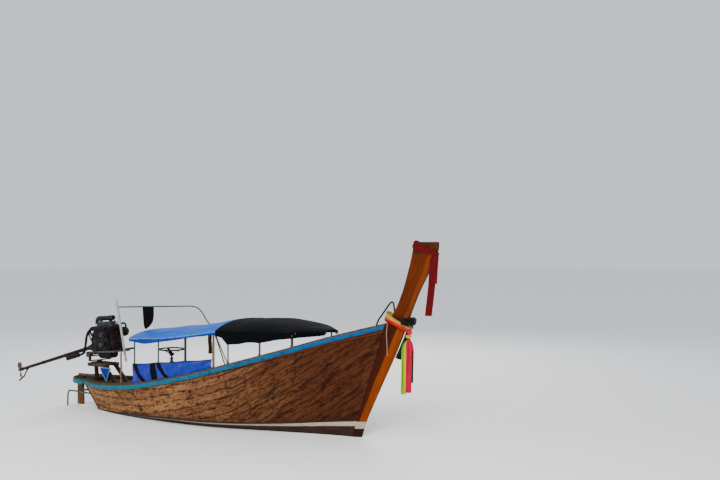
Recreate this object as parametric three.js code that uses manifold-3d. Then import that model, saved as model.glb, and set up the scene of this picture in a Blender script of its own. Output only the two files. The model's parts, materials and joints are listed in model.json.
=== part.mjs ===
// Longtail boat: a small wooden river and coast boat with a high prow, a low cloth canopy and an
// engine on a swivel over the transom that carries its propeller on a long tail.
// Millimetres. +X to the bow, +Y to port, +Z up. Origin on the centreline at the waterline.
import * as THREE from 'three';
import * as BufferGeometryUtils from 'three/addons/utils/BufferGeometryUtils.js';
import Module from 'manifold-3d';

const wasm = await Module();
wasm.setup();

// Driving dimensions of the hull
const PLANK = 30;                // side and bottom planks
const SEAT_GAP = 0.3;            // between pieces that touch
const FIT_GAP = 0.6;             // between a piece and a curved plank it is fitted to
const STATIONS = 24;             // lengths of planking between the table's sections
const TRANSOM_THICK = 42;
const STEM_HALF = 60;            // half width of the stem where the planks end
const KEEL_HALF = 42;
const KEEL_DEPTH = 90;
const RAIL_WIDE = 42;            // rub rail, out from the planks
const RAIL_TALL = 72;
const CAP_THICK = 26;
const CAP_WIDE = 96;
const INWALE_WIDE = 28;
const INWALE_TALL = 56;
const STERN_ROUND = 450;         // how far the round stern shelf reaches aft of the planks
const FLOOR_Z = 30;

// Driving dimensions of the engine and its tail, in the tilting frame at the tilt pin
const PIVOT = { x: -2920, y: 0, z: 960 };
const TAIL_SWING = 12;           // degrees to port, as the boat lies
const TAIL_DROP = 14;            // degrees below level, as the boat lies
const TAIL_LENGTH = 2930;        // tilt pin to the propeller's hub
const ENGINE_LEVEL = 8.5;        // degrees between the crankshaft and the tail tube
const SHAFT_Z = 120;             // crankshaft above the tilt pin
const BELL_END = -241;           // where the tail tube joins the bell housing
const TUBE_RADIUS = 28;
const CRADLE_HALF = 165;         // to the middle of a cradle rail

// Driving dimensions of the steering
const HELM = { x: -990, y: -250, z: 1085 };
const WHEEL_RADIUS = 225;

const COLOURS = {
  plank: ['#a8703a', 0.75, 0], darkWood: ['#4a3120', 0.8, 0], paleWood: ['#b99a6b', 0.75, 0],
  bottomPaint: ['#4b2a22', 0.7, 0], stemOrange: ['#a4572a', 0.6, 0], railBlue: ['#2f86a0', 0.5, 0],
  deck: ['#7b5a3c', 0.8, 0], steel: ['#8b9296', 0.45, 0.8], black: ['#17171a', 0.6, 0],
  castIron: ['#2b2c2e', 0.65, 0.5], cover: ['#8d9093', 0.45, 0.6], rust: ['#5d3323', 0.85, 0.3],
  blueTarp: ['#2f7fd0', 0.5, 0], blackTarp: ['#1b2132', 0.7, 0], sideTarp: ['#1657b8', 0.35, 0],
  red: ['#b0242a', 0.7, 0], sash: ['#e08a3a', 0.7, 0], sashTails: ['#d8405a', 0.7, 0],
  rubber: ['#1c1c1c', 0.7, 0], bronze: ['#b9a077', 0.35, 0.8], teal: ['#6f8f92', 0.5, 0.5],
};

const rad = THREE.MathUtils.degToRad;
const lerp = THREE.MathUtils.lerp;
const vec = (x, y, z) => new THREE.Vector3(x, y, z);

// Shape helpers

function trianglesToGeometry(points, faces) {
  const geometry = new THREE.BufferGeometry();
  const numbers = points.flatMap((p) => [p.x, p.y, p.z]);
  geometry.setAttribute('position', new THREE.Float32BufferAttribute(numbers, 3));
  geometry.setIndex(faces.flat());
  return geometry;
}

// A wall through sections. Each section has an outer and an inner row of points, of one length.
function wall(sections) {
  const rows = sections[0].outer.length;
  const points = sections.flatMap((s) => [...s.outer, ...s.inner]);
  const outer = (s, i) => s * rows * 2 + i;
  const inner = (s, i) => s * rows * 2 + rows + i;
  const faces = [];
  const quad = (a, b, c, d) => faces.push([a, b, c], [a, c, d]);
  for (let s = 0; s < sections.length - 1; s++) {
    for (let i = 0; i < rows - 1; i++) {
      quad(outer(s, i), outer(s, i + 1), outer(s + 1, i + 1), outer(s + 1, i));
      quad(inner(s, i), inner(s + 1, i), inner(s + 1, i + 1), inner(s, i + 1));
    }
    quad(outer(s, 0), outer(s + 1, 0), inner(s + 1, 0), inner(s, 0));
    quad(outer(s, rows - 1), inner(s, rows - 1), inner(s + 1, rows - 1), outer(s + 1, rows - 1));
  }
  const last = sections.length - 1;
  for (let i = 0; i < rows - 1; i++) {
    quad(outer(0, i), inner(0, i), inner(0, i + 1), outer(0, i + 1));
    quad(outer(last, i), outer(last, i + 1), inner(last, i + 1), inner(last, i));
  }
  return facingOut(trianglesToGeometry(points, faces));
}

// Turns every face over when the solid came out with its faces inward.
function facingOut(geometry) {
  const at = geometry.getAttribute('position');
  const index = geometry.index.array;
  const [a, b, c] = [vec(0, 0, 0), vec(0, 0, 0), vec(0, 0, 0)];
  let volume = 0;
  for (let i = 0; i < index.length; i += 3) {
    a.fromBufferAttribute(at, index[i]);
    b.fromBufferAttribute(at, index[i + 1]);
    c.fromBufferAttribute(at, index[i + 2]);
    volume += a.dot(b.cross(c));
  }
  if (volume < 0) geometry.setIndex(Array.from(index).reverse());
  return geometry;
}

const moved = (geometry, x, y, z) => geometry.clone().translate(x, y, z);

function box(x0, x1, y0, y1, z0, z1) {
  const geometry = new THREE.BoxGeometry(x1 - x0, y1 - y0, z1 - z0);
  return geometry.translate((x0 + x1) / 2, (y0 + y1) / 2, (z0 + z1) / 2);
}

// A round bar between two points.
function bar(from, to, radius, sides = 10) {
  const along = to.clone().sub(from);
  const geometry = new THREE.CylinderGeometry(radius, radius, along.length(), sides);
  const turn = new THREE.Quaternion().setFromUnitVectors(vec(0, 1, 0), along.clone().normalize());
  geometry.applyQuaternion(turn);
  const middle = from.clone().add(to).multiplyScalar(0.5);
  return geometry.translate(middle.x, middle.y, middle.z);
}

// A squared timber between two points, its sides level.
function timber(from, to, wide, tall) {
  const along = to.clone().sub(from);
  const geometry = new THREE.BoxGeometry(along.length(), wide, tall);
  const yaw = Math.atan2(along.y, along.x);
  const pitch = -Math.atan2(along.z, Math.hypot(along.x, along.y));
  geometry.rotateY(pitch);
  geometry.rotateZ(yaw);
  const middle = from.clone().add(to).multiplyScalar(0.5);
  return geometry.translate(middle.x, middle.y, middle.z);
}

// A round pipe or hose along a smooth curve through points.
function pipe(points, radius, steps = 24, sides = 10, tension = 0.5) {
  const path = new THREE.CatmullRomCurve3(points, false, 'catmullrom', tension);
  return sweep(path, radius, steps, sides);
}

function sweep(path, radius, steps, sides) {
  const section = new THREE.Shape();
  for (let i = 0; i < sides; i++) {
    const angle = (i / sides) * Math.PI * 2;
    const [x, y] = [radius * Math.cos(angle), radius * Math.sin(angle)];
    if (i) section.lineTo(x, y);
    else section.moveTo(x, y);
  }
  section.closePath();
  return new THREE.ExtrudeGeometry(section, { steps, extrudePath: path, curveSegments: 1 });
}

// An eight-sided rail through points that run fore and aft, its sections square to X.
function railThrough(points, radius) {
  const angles = [22.5, 67.5, 112.5, 157.5].map(rad);
  const row = (p, up) => angles.map((angle) => (
    vec(p.x, p.y + radius * Math.cos(angle), p.z + up * radius * Math.sin(angle))
  ));
  return wall(points.map((p) => ({ outer: row(p, 1), inner: row(p, -1) })));
}

// A plate cut to an outline in the X-Z plane, as thick as given, centred on y.
function sidePlate(outline, y, thick) {
  const shape = new THREE.Shape(outline.map(([x, z]) => new THREE.Vector2(x, z)));
  const geometry = new THREE.ExtrudeGeometry(shape, { depth: thick, bevelEnabled: false, curveSegments: 8 });
  geometry.rotateX(Math.PI / 2);
  return geometry.translate(0, y + thick / 2, 0);
}

// A cylinder lying along X, Y or Z.
function drum(axis, at, radius, length, sides = 20, radiusFar = radius) {
  const geometry = new THREE.CylinderGeometry(radiusFar, radius, length, sides);
  if (axis === 'x') geometry.rotateZ(-Math.PI / 2);
  if (axis === 'z') geometry.rotateX(Math.PI / 2);
  return geometry.translate(at.x, at.y, at.z);
}

function toManifold(geometry) {
  let plain = geometry.clone();
  plain.deleteAttribute('uv');
  plain.deleteAttribute('normal');
  plain = BufferGeometryUtils.mergeVertices(plain, 1e-3);
  return new wasm.Manifold(new wasm.Mesh({
    numProp: 3,
    vertProperties: Float32Array.from(plain.getAttribute('position').array),
    triVerts: Uint32Array.from(plain.index.array),
  }));
}

function fromManifold(solid) {
  const mesh = solid.getMesh();
  const geometry = new THREE.BufferGeometry();
  geometry.setAttribute('position', new THREE.Float32BufferAttribute(mesh.vertProperties, 3));
  geometry.setIndex(Array.from(mesh.triVerts));
  return geometry;
}

const join = (...shapes) => fromManifold(shapes.map(toManifold).reduce((a, b) => a.add(b)));

function cut(shape, ...tools) {
  return fromManifold(tools.map(toManifold).reduce((a, b) => a.subtract(b), toManifold(shape)));
}

// A piece cut back to a small gap from each neighbour. Of what is left, the largest body stays.
function fitted(piece, neighbours, gap = FIT_GAP) {
  const shifts = [-gap, gap].flatMap((x) => [-gap, gap].flatMap((y) => [-gap, gap].map((z) => [x, y, z])));
  let solid = toManifold(piece);
  for (const neighbour of neighbours) {
    for (const [x, y, z] of shifts) solid = solid.subtract(toManifold(moved(neighbour, x, y, z)));
  }
  const bodies = solid.decompose().sort((a, b) => b.volume() - a.volume());
  return fromManifold(bodies[0]);
}

const boat = new THREE.Group();

function add(parent, name, colour, geometry) {
  const [hex, roughness, metalness] = COLOURS[colour];
  const mesh = new THREE.Mesh(geometry, new THREE.MeshStandardMaterial({ color: hex, roughness, metalness }));
  mesh.name = name;
  parent.add(mesh);
  return mesh;
}

// Hull form. Each section gives the outer corner lines of the planking: the sheer at the gunwale,
// the chine between side and bottom, and the bottom beside the keel. Columns: sheer x, half
// breadth and z; chine x, half breadth and z; keel x and z.
const SECTIONS = [
  [-2980, 330, 505, -2620, 300, 20, -2508, -130],
  [-2400, 520, 500, -2080, 460, 40, -1990, -165],
  [-1600, 680, 570, -1400, 610, 80, -1350, -185],
  [-800, 770, 715, -700, 690, 110, -690, -195],
  [0, 800, 895, 0, 680, 120, 0, -200],
  [800, 780, 1110, 680, 570, 140, 640, -200],
  [1600, 650, 1335, 1400, 380, 180, 1310, -200],
  [2300, 420, 1545, 2020, 190, 230, 1890, -200],
  [3040, STEM_HALF, 1745, 2543, STEM_HALF, 270, 2385, -200],
];

// One column of the table at a place between its first section, 0, and its last, 1.
function column(index, along) {
  const spot = along * (SECTIONS.length - 1);
  const i = Math.min(Math.floor(spot), SECTIONS.length - 2);
  const t = spot - i;
  const value = (n) => SECTIONS[THREE.MathUtils.clamp(n, 0, SECTIONS.length - 1)][index];
  const [before, a, b, after] = [value(i - 1), value(i), value(i + 1), value(i + 2)];
  const slopeA = i ? (b - before) / 2 : b - a;
  const slopeB = i < SECTIONS.length - 2 ? (after - a) / 2 : b - a;
  const [t2, t3] = [t * t, t * t * t];
  return (2 * t3 - 3 * t2 + 1) * a + (t3 - 2 * t2 + t) * slopeA
    + (3 * t2 - 2 * t3) * b + (t3 - t2) * slopeB;
}

// The side planking has a row at the sheer, one at the rub rail's lower edge, and the rest evenly
// down to the chine, with a slight outward round. Down runs from the sheer, 0, to the chine, 1.
const SIDE_STEPS = 4;
const SIDE_ROUND = 26;
const BOTTOM_ROWS = [0, 0.35, 0.7, 1];
const BOTTOM_ROUND = 16;

function sideRows(along) {
  const belowRail = RAIL_TALL / (column(2, along) - column(5, along));
  const rows = [0];
  for (let i = 0; i <= SIDE_STEPS; i++) rows.push(lerp(belowRail, 1, i / SIDE_STEPS));
  return rows;
}

// How far x moves for each millimetre up, from the transom's rake to the stem's.
const TRANSOM_RAKE = (2980 - 2620) / (505 - 20);
const STEM_RAKE = (3040 - 2543) / (1745 - 270);
const rakeAt = (along) => lerp(-TRANSOM_RAKE, STEM_RAKE, along);
const transomX = (z) => -2620 - (z - 20) * TRANSOM_RAKE;

function sidePoint(along, down, inset) {
  const [sx, sy, sz] = [column(0, along), column(1, along), column(2, along)];
  const [cx, cy, cz] = [column(3, along), column(4, along), column(5, along)];
  const round = SIDE_ROUND * Math.sin(Math.PI * along) * Math.sin(Math.PI * down);
  return vec(lerp(sx, cx, down), lerp(sy, cy, down) + round - inset, lerp(sz, cz, down));
}

function bottomPoint(along, inward, inset) {
  const [cx, cy, cz] = [column(3, along), column(4, along), column(5, along)];
  const [kx, ky, kz] = [column(6, along), KEEL_HALF + 8, column(7, along)];
  const round = BOTTOM_ROUND * Math.sin(Math.PI * along) * Math.sin(Math.PI * inward);
  const lift = inset - round;
  const half = Math.min(lerp(cy, ky, inward), cy);
  return vec(lerp(cx, kx, inward) + lift * rakeAt(along), half, lerp(cz, kz, inward) + lift);
}

const stationsFrom = (a, b) => {
  const list = [];
  for (let s = a; s <= b; s++) list.push(s / STATIONS);
  return list;
};
const ALL = stationsFrom(0, STATIONS);
const sideways = (p, side) => vec(p.x, p.y * side, p.z);

// Point on the inner face of the side planks, on the flat facets between stations.
function innerSide(station, down) {
  const low = Math.min(Math.floor(station), STATIONS - 1);
  const a = sidePoint(low / STATIONS, down, PLANK);
  const b = sidePoint((low + 1) / STATIONS, down, PLANK);
  return a.lerp(b, station - low);
}

// Height of the sheer at a place x, on the facets.
function sheerAt(x) {
  const tops = ALL.map((along) => sidePoint(along, 0, 0));
  const i = THREE.MathUtils.clamp(tops.findIndex((p) => p.x > x), 1, STATIONS);
  const t = (x - tops[i - 1].x) / (tops[i].x - tops[i - 1].x);
  return { z: lerp(tops[i - 1].z, tops[i].z, t), half: lerp(tops[i - 1].y, tops[i].y, t) };
}

function sidePlanking(side) {
  const inside = (along, down) => sidePoint(along, down, Math.min(PLANK, sidePoint(along, down, 0).y - 20));
  return wall(ALL.map((along) => ({
    outer: sideRows(along).map((down) => sideways(sidePoint(along, down, 0), side)),
    inner: sideRows(along).map((down) => sideways(inside(along, down), side)),
  })));
}

// The bottom runs from chine to chine, under the side planks' lower edge.
function bottomPlanking() {
  const under = (p, side) => vec(p.x, p.y * side, p.z - SEAT_GAP);
  return wall(ALL.map((along) => {
    const row = (inset) => [
      ...BOTTOM_ROWS.map((inward) => under(bottomPoint(along, inward, inset), -1)),
      ...[...BOTTOM_ROWS].reverse().map((inward) => under(bottomPoint(along, inward, inset), 1)),
    ];
    return { outer: row(-PLANK), inner: row(0) };
  }));
}

// The keel bar, flat on top under the bottom planks.
function keel() {
  return wall(ALL.map((along) => {
    const high = bottomPoint(along, 1, -PLANK - 2 * SEAT_GAP);
    const low = bottomPoint(along, 1, -PLANK - 2 * SEAT_GAP - KEEL_DEPTH);
    return {
      outer: [vec(high.x, -KEEL_HALF, high.z), vec(low.x, -KEEL_HALF * 0.7, low.z)],
      inner: [vec(high.x, KEEL_HALF, high.z), vec(low.x, KEEL_HALF * 0.7, low.z)],
    };
  }));
}

// The raked transom closes the plank ends.
function transom() {
  const levels = [[505, 326], [262, 314], [-10, 298], [-85, 175], [-160, 50]];
  const face = (back) => levels.map(([z, half]) => [transomX(z) - SEAT_GAP - back, half, z]);
  const section = (side, back) => face(back).map(([x, half, z]) => vec(x, half * side, z));
  return wall([
    { outer: section(-1, TRANSOM_THICK), inner: section(-1, 0) },
    { outer: section(1, TRANSOM_THICK), inner: section(1, 0) },
  ]);
}

// The stem and the high prow in one timber. Columns: z, x of the back, of the bevel's edge and of
// the cutwater, and the half widths there.
const STEM = [
  [-322, 2344, 2400, 2470, 42, 40, 20],
  [-200, 2385, 2450, 2535, 60, 52, 14],
  [270, 2543, 2590, 2690, 60, 58, 12],
  [860, 2742, 2845, 2975, 60, 58, 12],
  [1340, 2904, 3070, 3210, 60, 56, 12],
  [1620, 2998, 3190, 3325, 60, 52, 22],
  [1745, 3040, 3250, 3372, 60, 46, 34],
  [1790, 3075, 3270, 3390, 45, 45, 38],
  [1980, 3205, 3330, 3462, 45, 45, 40],
  [2280, 3330, 3450, 3592, 45, 45, 40],
  [2510, 3398, 3550, 3720, 45, 45, 40],
  [2700, 3452, 3620, 3808, 45, 45, 40],
  [2890, 3492, 3660, 3902, 45, 45, 40],
  [2995, 3510, 3680, 3890, 45, 45, 40],
];

function stem() {
  const row = ([z, back, edge, front, halfBack, halfEdge, halfFront], side) => [
    vec(back + SEAT_GAP, halfBack * side, z), vec(edge, halfEdge * side, z), vec(front, halfFront * side, z),
  ];
  return wall(STEM.map((level) => ({ outer: row(level, -1), inner: row(level, 1) })));
}

// A strip along the sheer: near and far edge measured inward from the planks' outer face, and
// top and bottom measured up from the sheer.
function sheerStrip(side, first, last, outside, inside, top, bottom) {
  const edge = (along, up, inward, least) => {
    const tall = column(2, along) - column(5, along);
    const p = sidePoint(along, Math.max(-up / tall, 0), 0);
    return vec(p.x, Math.max(p.y - inward, least) * side, up > 0 ? p.z + up : p.z);
  };
  return wall(stationsFrom(first, last).map((along) => ({
    outer: [edge(along, top, outside, 24), edge(along, bottom, outside, 24)],
    inner: [edge(along, top, inside, 12), edge(along, bottom, inside, 12)],
  })));
}

// The ribs stand against the side planks and hang from the inwale, in one piece with it.
const RIB_STATIONS = [3, 5, 7, 9, 11, 13, 15, 17, 19];
const RIB_WIDE = 38;
const RIB_DEEP = 32;

function rib(station, side) {
  const levels = [0.03, 0.35, 0.65, 0.93];
  const sections = levels.map((down) => {
    const p = innerSide(station, down);
    const ahead = innerSide(station + 0.15, down);
    const slope = (ahead.y - p.y) / (ahead.x - p.x);
    const at = (dx, inset) => vec(p.x + dx, (p.y + dx * slope - inset) * side, p.z);
    return {
      outer: [at(-RIB_WIDE / 2, -8), at(RIB_WIDE / 2, -8)],
      inner: [at(-RIB_WIDE / 2, RIB_DEEP), at(RIB_WIDE / 2, RIB_DEEP)],
    };
  });
  return wall(sections);
}

function ribsAndInwale(side, planks) {
  const inwale = sheerStrip(side, 1, STATIONS - 2, PLANK - 6, PLANK + INWALE_WIDE, 0, -INWALE_TALL);
  const ribs = RIB_STATIONS.map((station) => rib(station + 0.5, side));
  return cut(join(inwale, ...ribs), moved(planks, 0, -side * 0.4, 0));
}

// A deck that follows the sheer a little below it, wider than the boat until it is fitted.
function sheerDeck(x0, x1, below, thick, steps) {
  const sections = [];
  for (let i = 0; i <= steps; i++) {
    const x = lerp(x0, x1, i / steps);
    const sheer = sheerAt(x);
    const [half, top] = [sheer.half - PLANK / 2, sheer.z - below];
    sections.push({
      outer: [vec(x, -half, top), vec(x, half, top)],
      inner: [vec(x, -half, top - thick), vec(x, half, top - thick)],
    });
  }
  return wall(sections);
}

// Round stern: a half-oval shelf behind the transom with a rail around its edge.
const SHELF_TOP = 470;
const SHELF_THICK = 34;
const SHELF_X = transomX(SHELF_TOP) - TRANSOM_THICK - 2 * SEAT_GAP;

function sternArc(outset, steps = 16) {
  const start = sidePoint(0, 0, 0);
  const points = [];
  for (let i = 0; i <= steps; i++) {
    const angle = (i / steps) * Math.PI;
    points.push([start.x - (STERN_ROUND + outset) * Math.sin(angle), -(start.y + outset) * Math.cos(angle)]);
  }
  return points;
}

function sternRail() {
  const far = sternArc(1);
  const top = sidePoint(0, 0, 0).z;
  const edge = ([x, y]) => [vec(x - 0.4, y, top + CAP_THICK), vec(x - 0.4, y, top - RAIL_TALL)];
  return wall(sternArc(RAIL_WIDE).map((point, i) => ({ outer: edge(point), inner: edge(far[i]) })));
}

function sternShelf() {
  const outline = new THREE.Shape(sternArc(0.4).map(([x, y]) => new THREE.Vector2(x, y)));
  const geometry = new THREE.ExtrudeGeometry(outline, { depth: SHELF_THICK, bevelEnabled: false });
  geometry.translate(0, 0, SHELF_TOP - SHELF_THICK);
  return cut(geometry, box(SHELF_X, 0, -600, 600, 300, 600));
}

// Boards across the hull. Columns: name, aft x, fore x, underside z, thickness.
const THWARTS = [
  ['thwart_aft', -1330, -1090, 330, 28],
  ['thwart_middle', 120, 380, 470, 28],
  ['thwart_fore', 1330, 1590, 800, 28],
];

// The pieces that others stand on are kept here by name.
const made = {};

function fix(name, colour, geometry) {
  made[name] = geometry;
  add(boat, name, colour, geometry);
}

const neighbours = (...names) => names.map((name) => made[name]);

function buildHull() {
  fix('bottom_planking', 'bottomPaint', bottomPlanking());
  fix('keel', 'bottomPaint', keel());
  for (const [name, side] of [['starboard', -1], ['port', 1]]) {
    const planks = sidePlanking(side);
    const rail = sheerStrip(side, 0, STATIONS, -RAIL_WIDE, -SEAT_GAP, 0, -RAIL_TALL);
    fix(`side_planking_${name}`, 'plank', planks);
    fix(`rub_rail_${name}`, 'railBlue', rail);
    fix(`gunwale_cap_${name}`, 'darkWood', sheerStrip(side, 0, STATIONS, -8, CAP_WIDE, CAP_THICK, SEAT_GAP));
    fix(`ribs_${name}`, 'darkWood', ribsAndInwale(side, planks));
  }
  const around = neighbours('side_planking_starboard', 'side_planking_port', 'ribs_starboard', 'ribs_port');
  const floor = box(-2150, 1650, -640, 640, FLOOR_Z - 24, FLOOR_Z);
  fix('transom', 'plank', transom());
  fix('floor_boards', 'deck', fitted(floor, [made.bottom_planking, ...around]));
  fix('stern_deck', 'deck', fitted(sheerDeck(-2860, -2150, 30, 26, 5), around));
  fix('bow_deck', 'deck', fitted(sheerDeck(2060, 2720, 30, 24, 5), around));
  for (const [name, x0, x1, z, thick] of THWARTS) {
    fix(name, 'paleWood', fitted(box(x0, x1, -900, 900, z, z + thick), around));
  }
}

// Bow: the black crosspiece through the stem, the bent pipe, and the ribbons that dress the prow.
const CROSSPIECE = { x: 3395, z: 1812, wide: 84, tall: 96, half: 175 };

function buildBow() {
  const { x, z, wide, tall, half } = CROSSPIECE;
  const crosspiece = box(x - wide / 2, x + wide / 2, -half, half, z - tall / 2, z + tall / 2);
  fix('mooring_crosspiece', 'black', crosspiece);
  fix('stem_and_prow', 'stemOrange', fitted(stem(), [crosspiece], SEAT_GAP));
  const hoop = pipe([
    vec(2890, -70, sheerAt(2890).z), vec(2960, -48, 1872), vec(3090, -8, 2066), vec(3124, 0, 2090),
    vec(3148, 0, 2066), vec(3172, 0, 1900),
  ], 14, 24, 8, 0.3);
  fix('bow_hoop', 'black', fitted(hoop, neighbours('stem_and_prow', 'gunwale_cap_starboard'), SEAT_GAP));
}

// The bunch of sash tails ahead of the stem. Columns: z, x behind and ahead, y to each side.
const TAILS = [
  [1660, 3372, 3452, -36, 34],
  [1450, 3362, 3486, -60, 55],
  [730, 3350, 3500, -45, 45],
];

function buildProwDressing() {
  const band = timber(vec(3478, 0, 2968), vec(3928, 0, 2800), 100, 62);
  fix('prow_head_band', 'red', fitted(band, [made.stem_and_prow], SEAT_GAP));
  const outline = new THREE.Shape();
  outline.absellipse(0, 0, 232, 104, 0, Math.PI * 2);
  const ring = new THREE.ExtrudeGeometry(outline, {
    depth: 80, bevelEnabled: true, bevelSize: 18, bevelThickness: 22, bevelSegments: 2, curveSegments: 12,
  });
  ring.translate(0, 0, -40);
  ring.rotateY(rad(24));
  ring.translate(3236, 0, 1782);
  const around = neighbours('stem_and_prow', 'mooring_crosspiece', 'bow_hoop');
  fix('prow_sashes', 'sash', fitted(ring, around, SEAT_GAP));
  const tails = wall(TAILS.map(([z, back, front, right, left]) => ({
    outer: [vec(back, right, z), vec(front, right, z)],
    inner: [vec(back, left, z), vec(front, left, z)],
  })));
  fix('sash_tails', 'sashTails', fitted(tails, neighbours('stem_and_prow', 'prow_sashes'), SEAT_GAP));
  const ribbon = timber(vec(3832, -51, 2812), vec(3748, -51, 1900), 10, 105);
  const behind = neighbours('stem_and_prow', 'prow_head_band');
  fix('prow_ribbon', 'red', fitted(ribbon, behind, SEAT_GAP));
}

// Round stern with the rudder's trunk through its shelf.
const RUDDER = { x: -3360, stock: 15, bore: 15.9, boardHalf: 22 };

function buildStern() {
  const hole = drum('z', vec(RUDDER.x, 0, SHELF_TOP), RUDDER.bore, 200, 24);
  fix('stern_shelf', 'darkWood', cut(sternShelf(), hole));
  fix('stern_rail', 'railBlue', sternRail());
  const [armTop, armLow] = [285, 255];
  const arm = box(RUDDER.x, -2700, -20, 20, armLow, armTop);
  const eye = drum('z', vec(RUDDER.x, 0, (armTop + armLow) / 2), 32, armTop - armLow, 24);
  const brace = timber(vec(-3180, 0, 262), vec(-2640, 0, 40), 26, 24);
  const bracket = cut(join(arm, eye, brace), hole.clone().translate(0, 0, -200));
  fix('rudder_bracket', 'steel', fitted(bracket, [made.transom], SEAT_GAP));
  const step = pipe([
    vec(-2760, -262, 262), vec(-3050, -258, 272), vec(-3400, -246, 280), vec(-3468, -244, 240),
    vec(-3476, -244, 100), vec(-3476, -244, -340),
  ], 15, 26, 8, 0.3);
  fix('stern_step', 'steel', fitted(step, neighbours('transom', 'side_planking_starboard'), SEAT_GAP));
  const pole = timber(vec(-3452, 0, 549.6), vec(-2790, 0, 549.6), 36, 36);
  fix('stern_pole', 'paleWood', fitted(pole, neighbours('stern_rail'), SEAT_GAP));
}

function buildRudder() {
  const { x, stock, boardHalf } = RUDDER;
  const board = sidePlate([
    [x + 35, 420], [x + 35, -400], [x - 20, -470], [x - 290, -450], [x - 350, -380],
    [x - 350, -150], [x - 105, -40], [x - 105, 420],
  ], 0, boardHalf * 2);
  const notch = box(x - 40, x + 60, -60, 60, 248, 292);
  const rod = drum('z', vec(x, 0, 52.5), stock, 905, 16);
  fix('rudder', 'plank', join(cut(board, notch), rod));
  fix('rudder_crosshead', 'steel', box(x - 14, x + 14, -76, 76, 505.3, 525));
}

// Engine bed: two A-frames of timber, a cap beam and cross ties, standing on the stern deck.
const BED_TOP = 800;

function buildEngineBed() {
  const deck = sheerAt(-2500).z - 30;
  const parts = [];
  for (const y of [-135, 135]) {
    parts.push(timber(vec(-2840, y, deck - 40), vec(-2875, y, BED_TOP - 10), 50, 56));
    parts.push(timber(vec(-2330, y, deck - 60), vec(-2700, y, BED_TOP - 10), 50, 56));
    parts.push(box(-3060, -2600, y - 30, y + 30, BED_TOP - 60, BED_TOP));
  }
  parts.push(box(-2872, -2822, -140, 140, 488, 531.3));
  parts.push(box(-3050, -2780, -160, 160, BED_TOP - 40, BED_TOP));
  parts.push(box(-2700, -2630, -160, 160, BED_TOP - 40, BED_TOP));
  const below = neighbours('stern_deck', 'stern_shelf', 'transom', 'stern_pole');
  fix('engine_bed', 'darkWood', fitted(join(...parts), below, SEAT_GAP));
  const plate = box(PIVOT.x - 110, PIVOT.x + 110, -110, 110, BED_TOP + SEAT_GAP, BED_TOP + 13);
  const collar = drum('z', vec(PIVOT.x, 0, BED_TOP + 24), 46, 24, 24);
  const bore = drum('z', vec(PIVOT.x, 0, BED_TOP), 25, 200, 24);
  fix('swivel_base', 'castIron', cut(join(plate, collar), bore));
}

// Engine, tail and propeller hang in two nested groups: one swings, one tilts.
const swivel = new THREE.Group();
swivel.position.set(PIVOT.x, PIVOT.y, PIVOT.z);
swivel.rotation.z = -rad(TAIL_SWING);
boat.add(swivel);
const tail = new THREE.Group();
tail.rotation.y = -rad(TAIL_DROP);
swivel.add(tail);

const YOKE = { floor: BED_TOP + 36.6 - PIVOT.z, armInner: 191, armOuter: 217, pin: 14, hole: 15 };

function buildYoke() {
  const { floor, armInner, armOuter, hole } = YOKE;
  const base = box(-34, 34, -armOuter, armOuter, floor, floor + 14);
  const arms = [-1, 1].map((side) => {
    const [a, b] = [armInner * side, armOuter * side];
    return box(-30, 30, Math.min(a, b), Math.max(a, b), floor, 30);
  });
  const kingpin = drum('z', vec(0, 0, floor - 15), 24, 40, 24);
  const bore = drum('y', vec(0, 0, 0), hole, 500, 20);
  add(swivel, 'swivel_yoke', 'castIron', cut(join(base, kingpin, ...arms), bore));
}

const ENGINE = { front: 540, half: 140, blockTop: 390, headTop: 495, coverTop: 570 };

// The engine lies closer to level than its tail. Its pieces are drawn square to the crankshaft
// and turned about the tilt pin.
const levelled = (geometry) => geometry.rotateY(rad(ENGINE_LEVEL));
const onEngine = (x, y, z) => vec(x, y, z).applyAxisAngle(vec(0, 1, 0), rad(ENGINE_LEVEL));
const COUPLING = onEngine(BELL_END, 0, SHAFT_Z);

const tailShape = (name) => tail.getObjectByName(name).geometry;
const tailShapes = () => tail.children.filter((o) => o.isMesh).map((o) => o.geometry);

// The cradle: two rails, a tie at each end and the tilt pin.
function buildCradle() {
  const half = CRADLE_HALF;
  const parts = [drum('y', vec(0, 0, 0), YOKE.pin, 460, 16)];
  for (const y of [-half, half]) {
    parts.push(box(-170, 720, y - 16, y + 16, 16, 48));
    parts.push(box(-26, 26, y - 16, y + 16, -24, 20));
    parts.push(box(-170, -130, y - 16, y + 16, -50, 20));
  }
  parts.push(box(-170, -130, -half, half, -50, -26));
  parts.push(box(684, 720, -half, half, 16, 48));
  add(tail, 'engine_cradle', 'steel', levelled(join(...parts)));
}

function buildEngine() {
  const { front, half, blockTop, headTop, coverTop } = ENGINE;
  const block = [
    box(0, front, -half, half, 60, blockTop),
    box(40, front - 40, -half - 20, half + 20, 200, 290),
    box(70, 480, -95, 95, -88, 70),
    box(10, front - 12, -half + 22, half - 18, blockTop - 1, headTop),
  ];
  for (const y of [-1, 1]) {
    for (const x of [80, 400]) block.push(box(x, x + 60, y * 148 - 33, y * 148 + 33, 48.3, 90));
  }
  add(tail, 'engine_block', 'castIron', levelled(join(...block)));
  const cover = box(30, front - 40, -62, 62, headTop + SEAT_GAP, coverTop);
  const cap = drum('z', vec(150, -34, coverTop + 12), 26, 40, 16);
  add(tail, 'rocker_cover', 'cover', levelled(join(cover, cap)));
}

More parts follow.
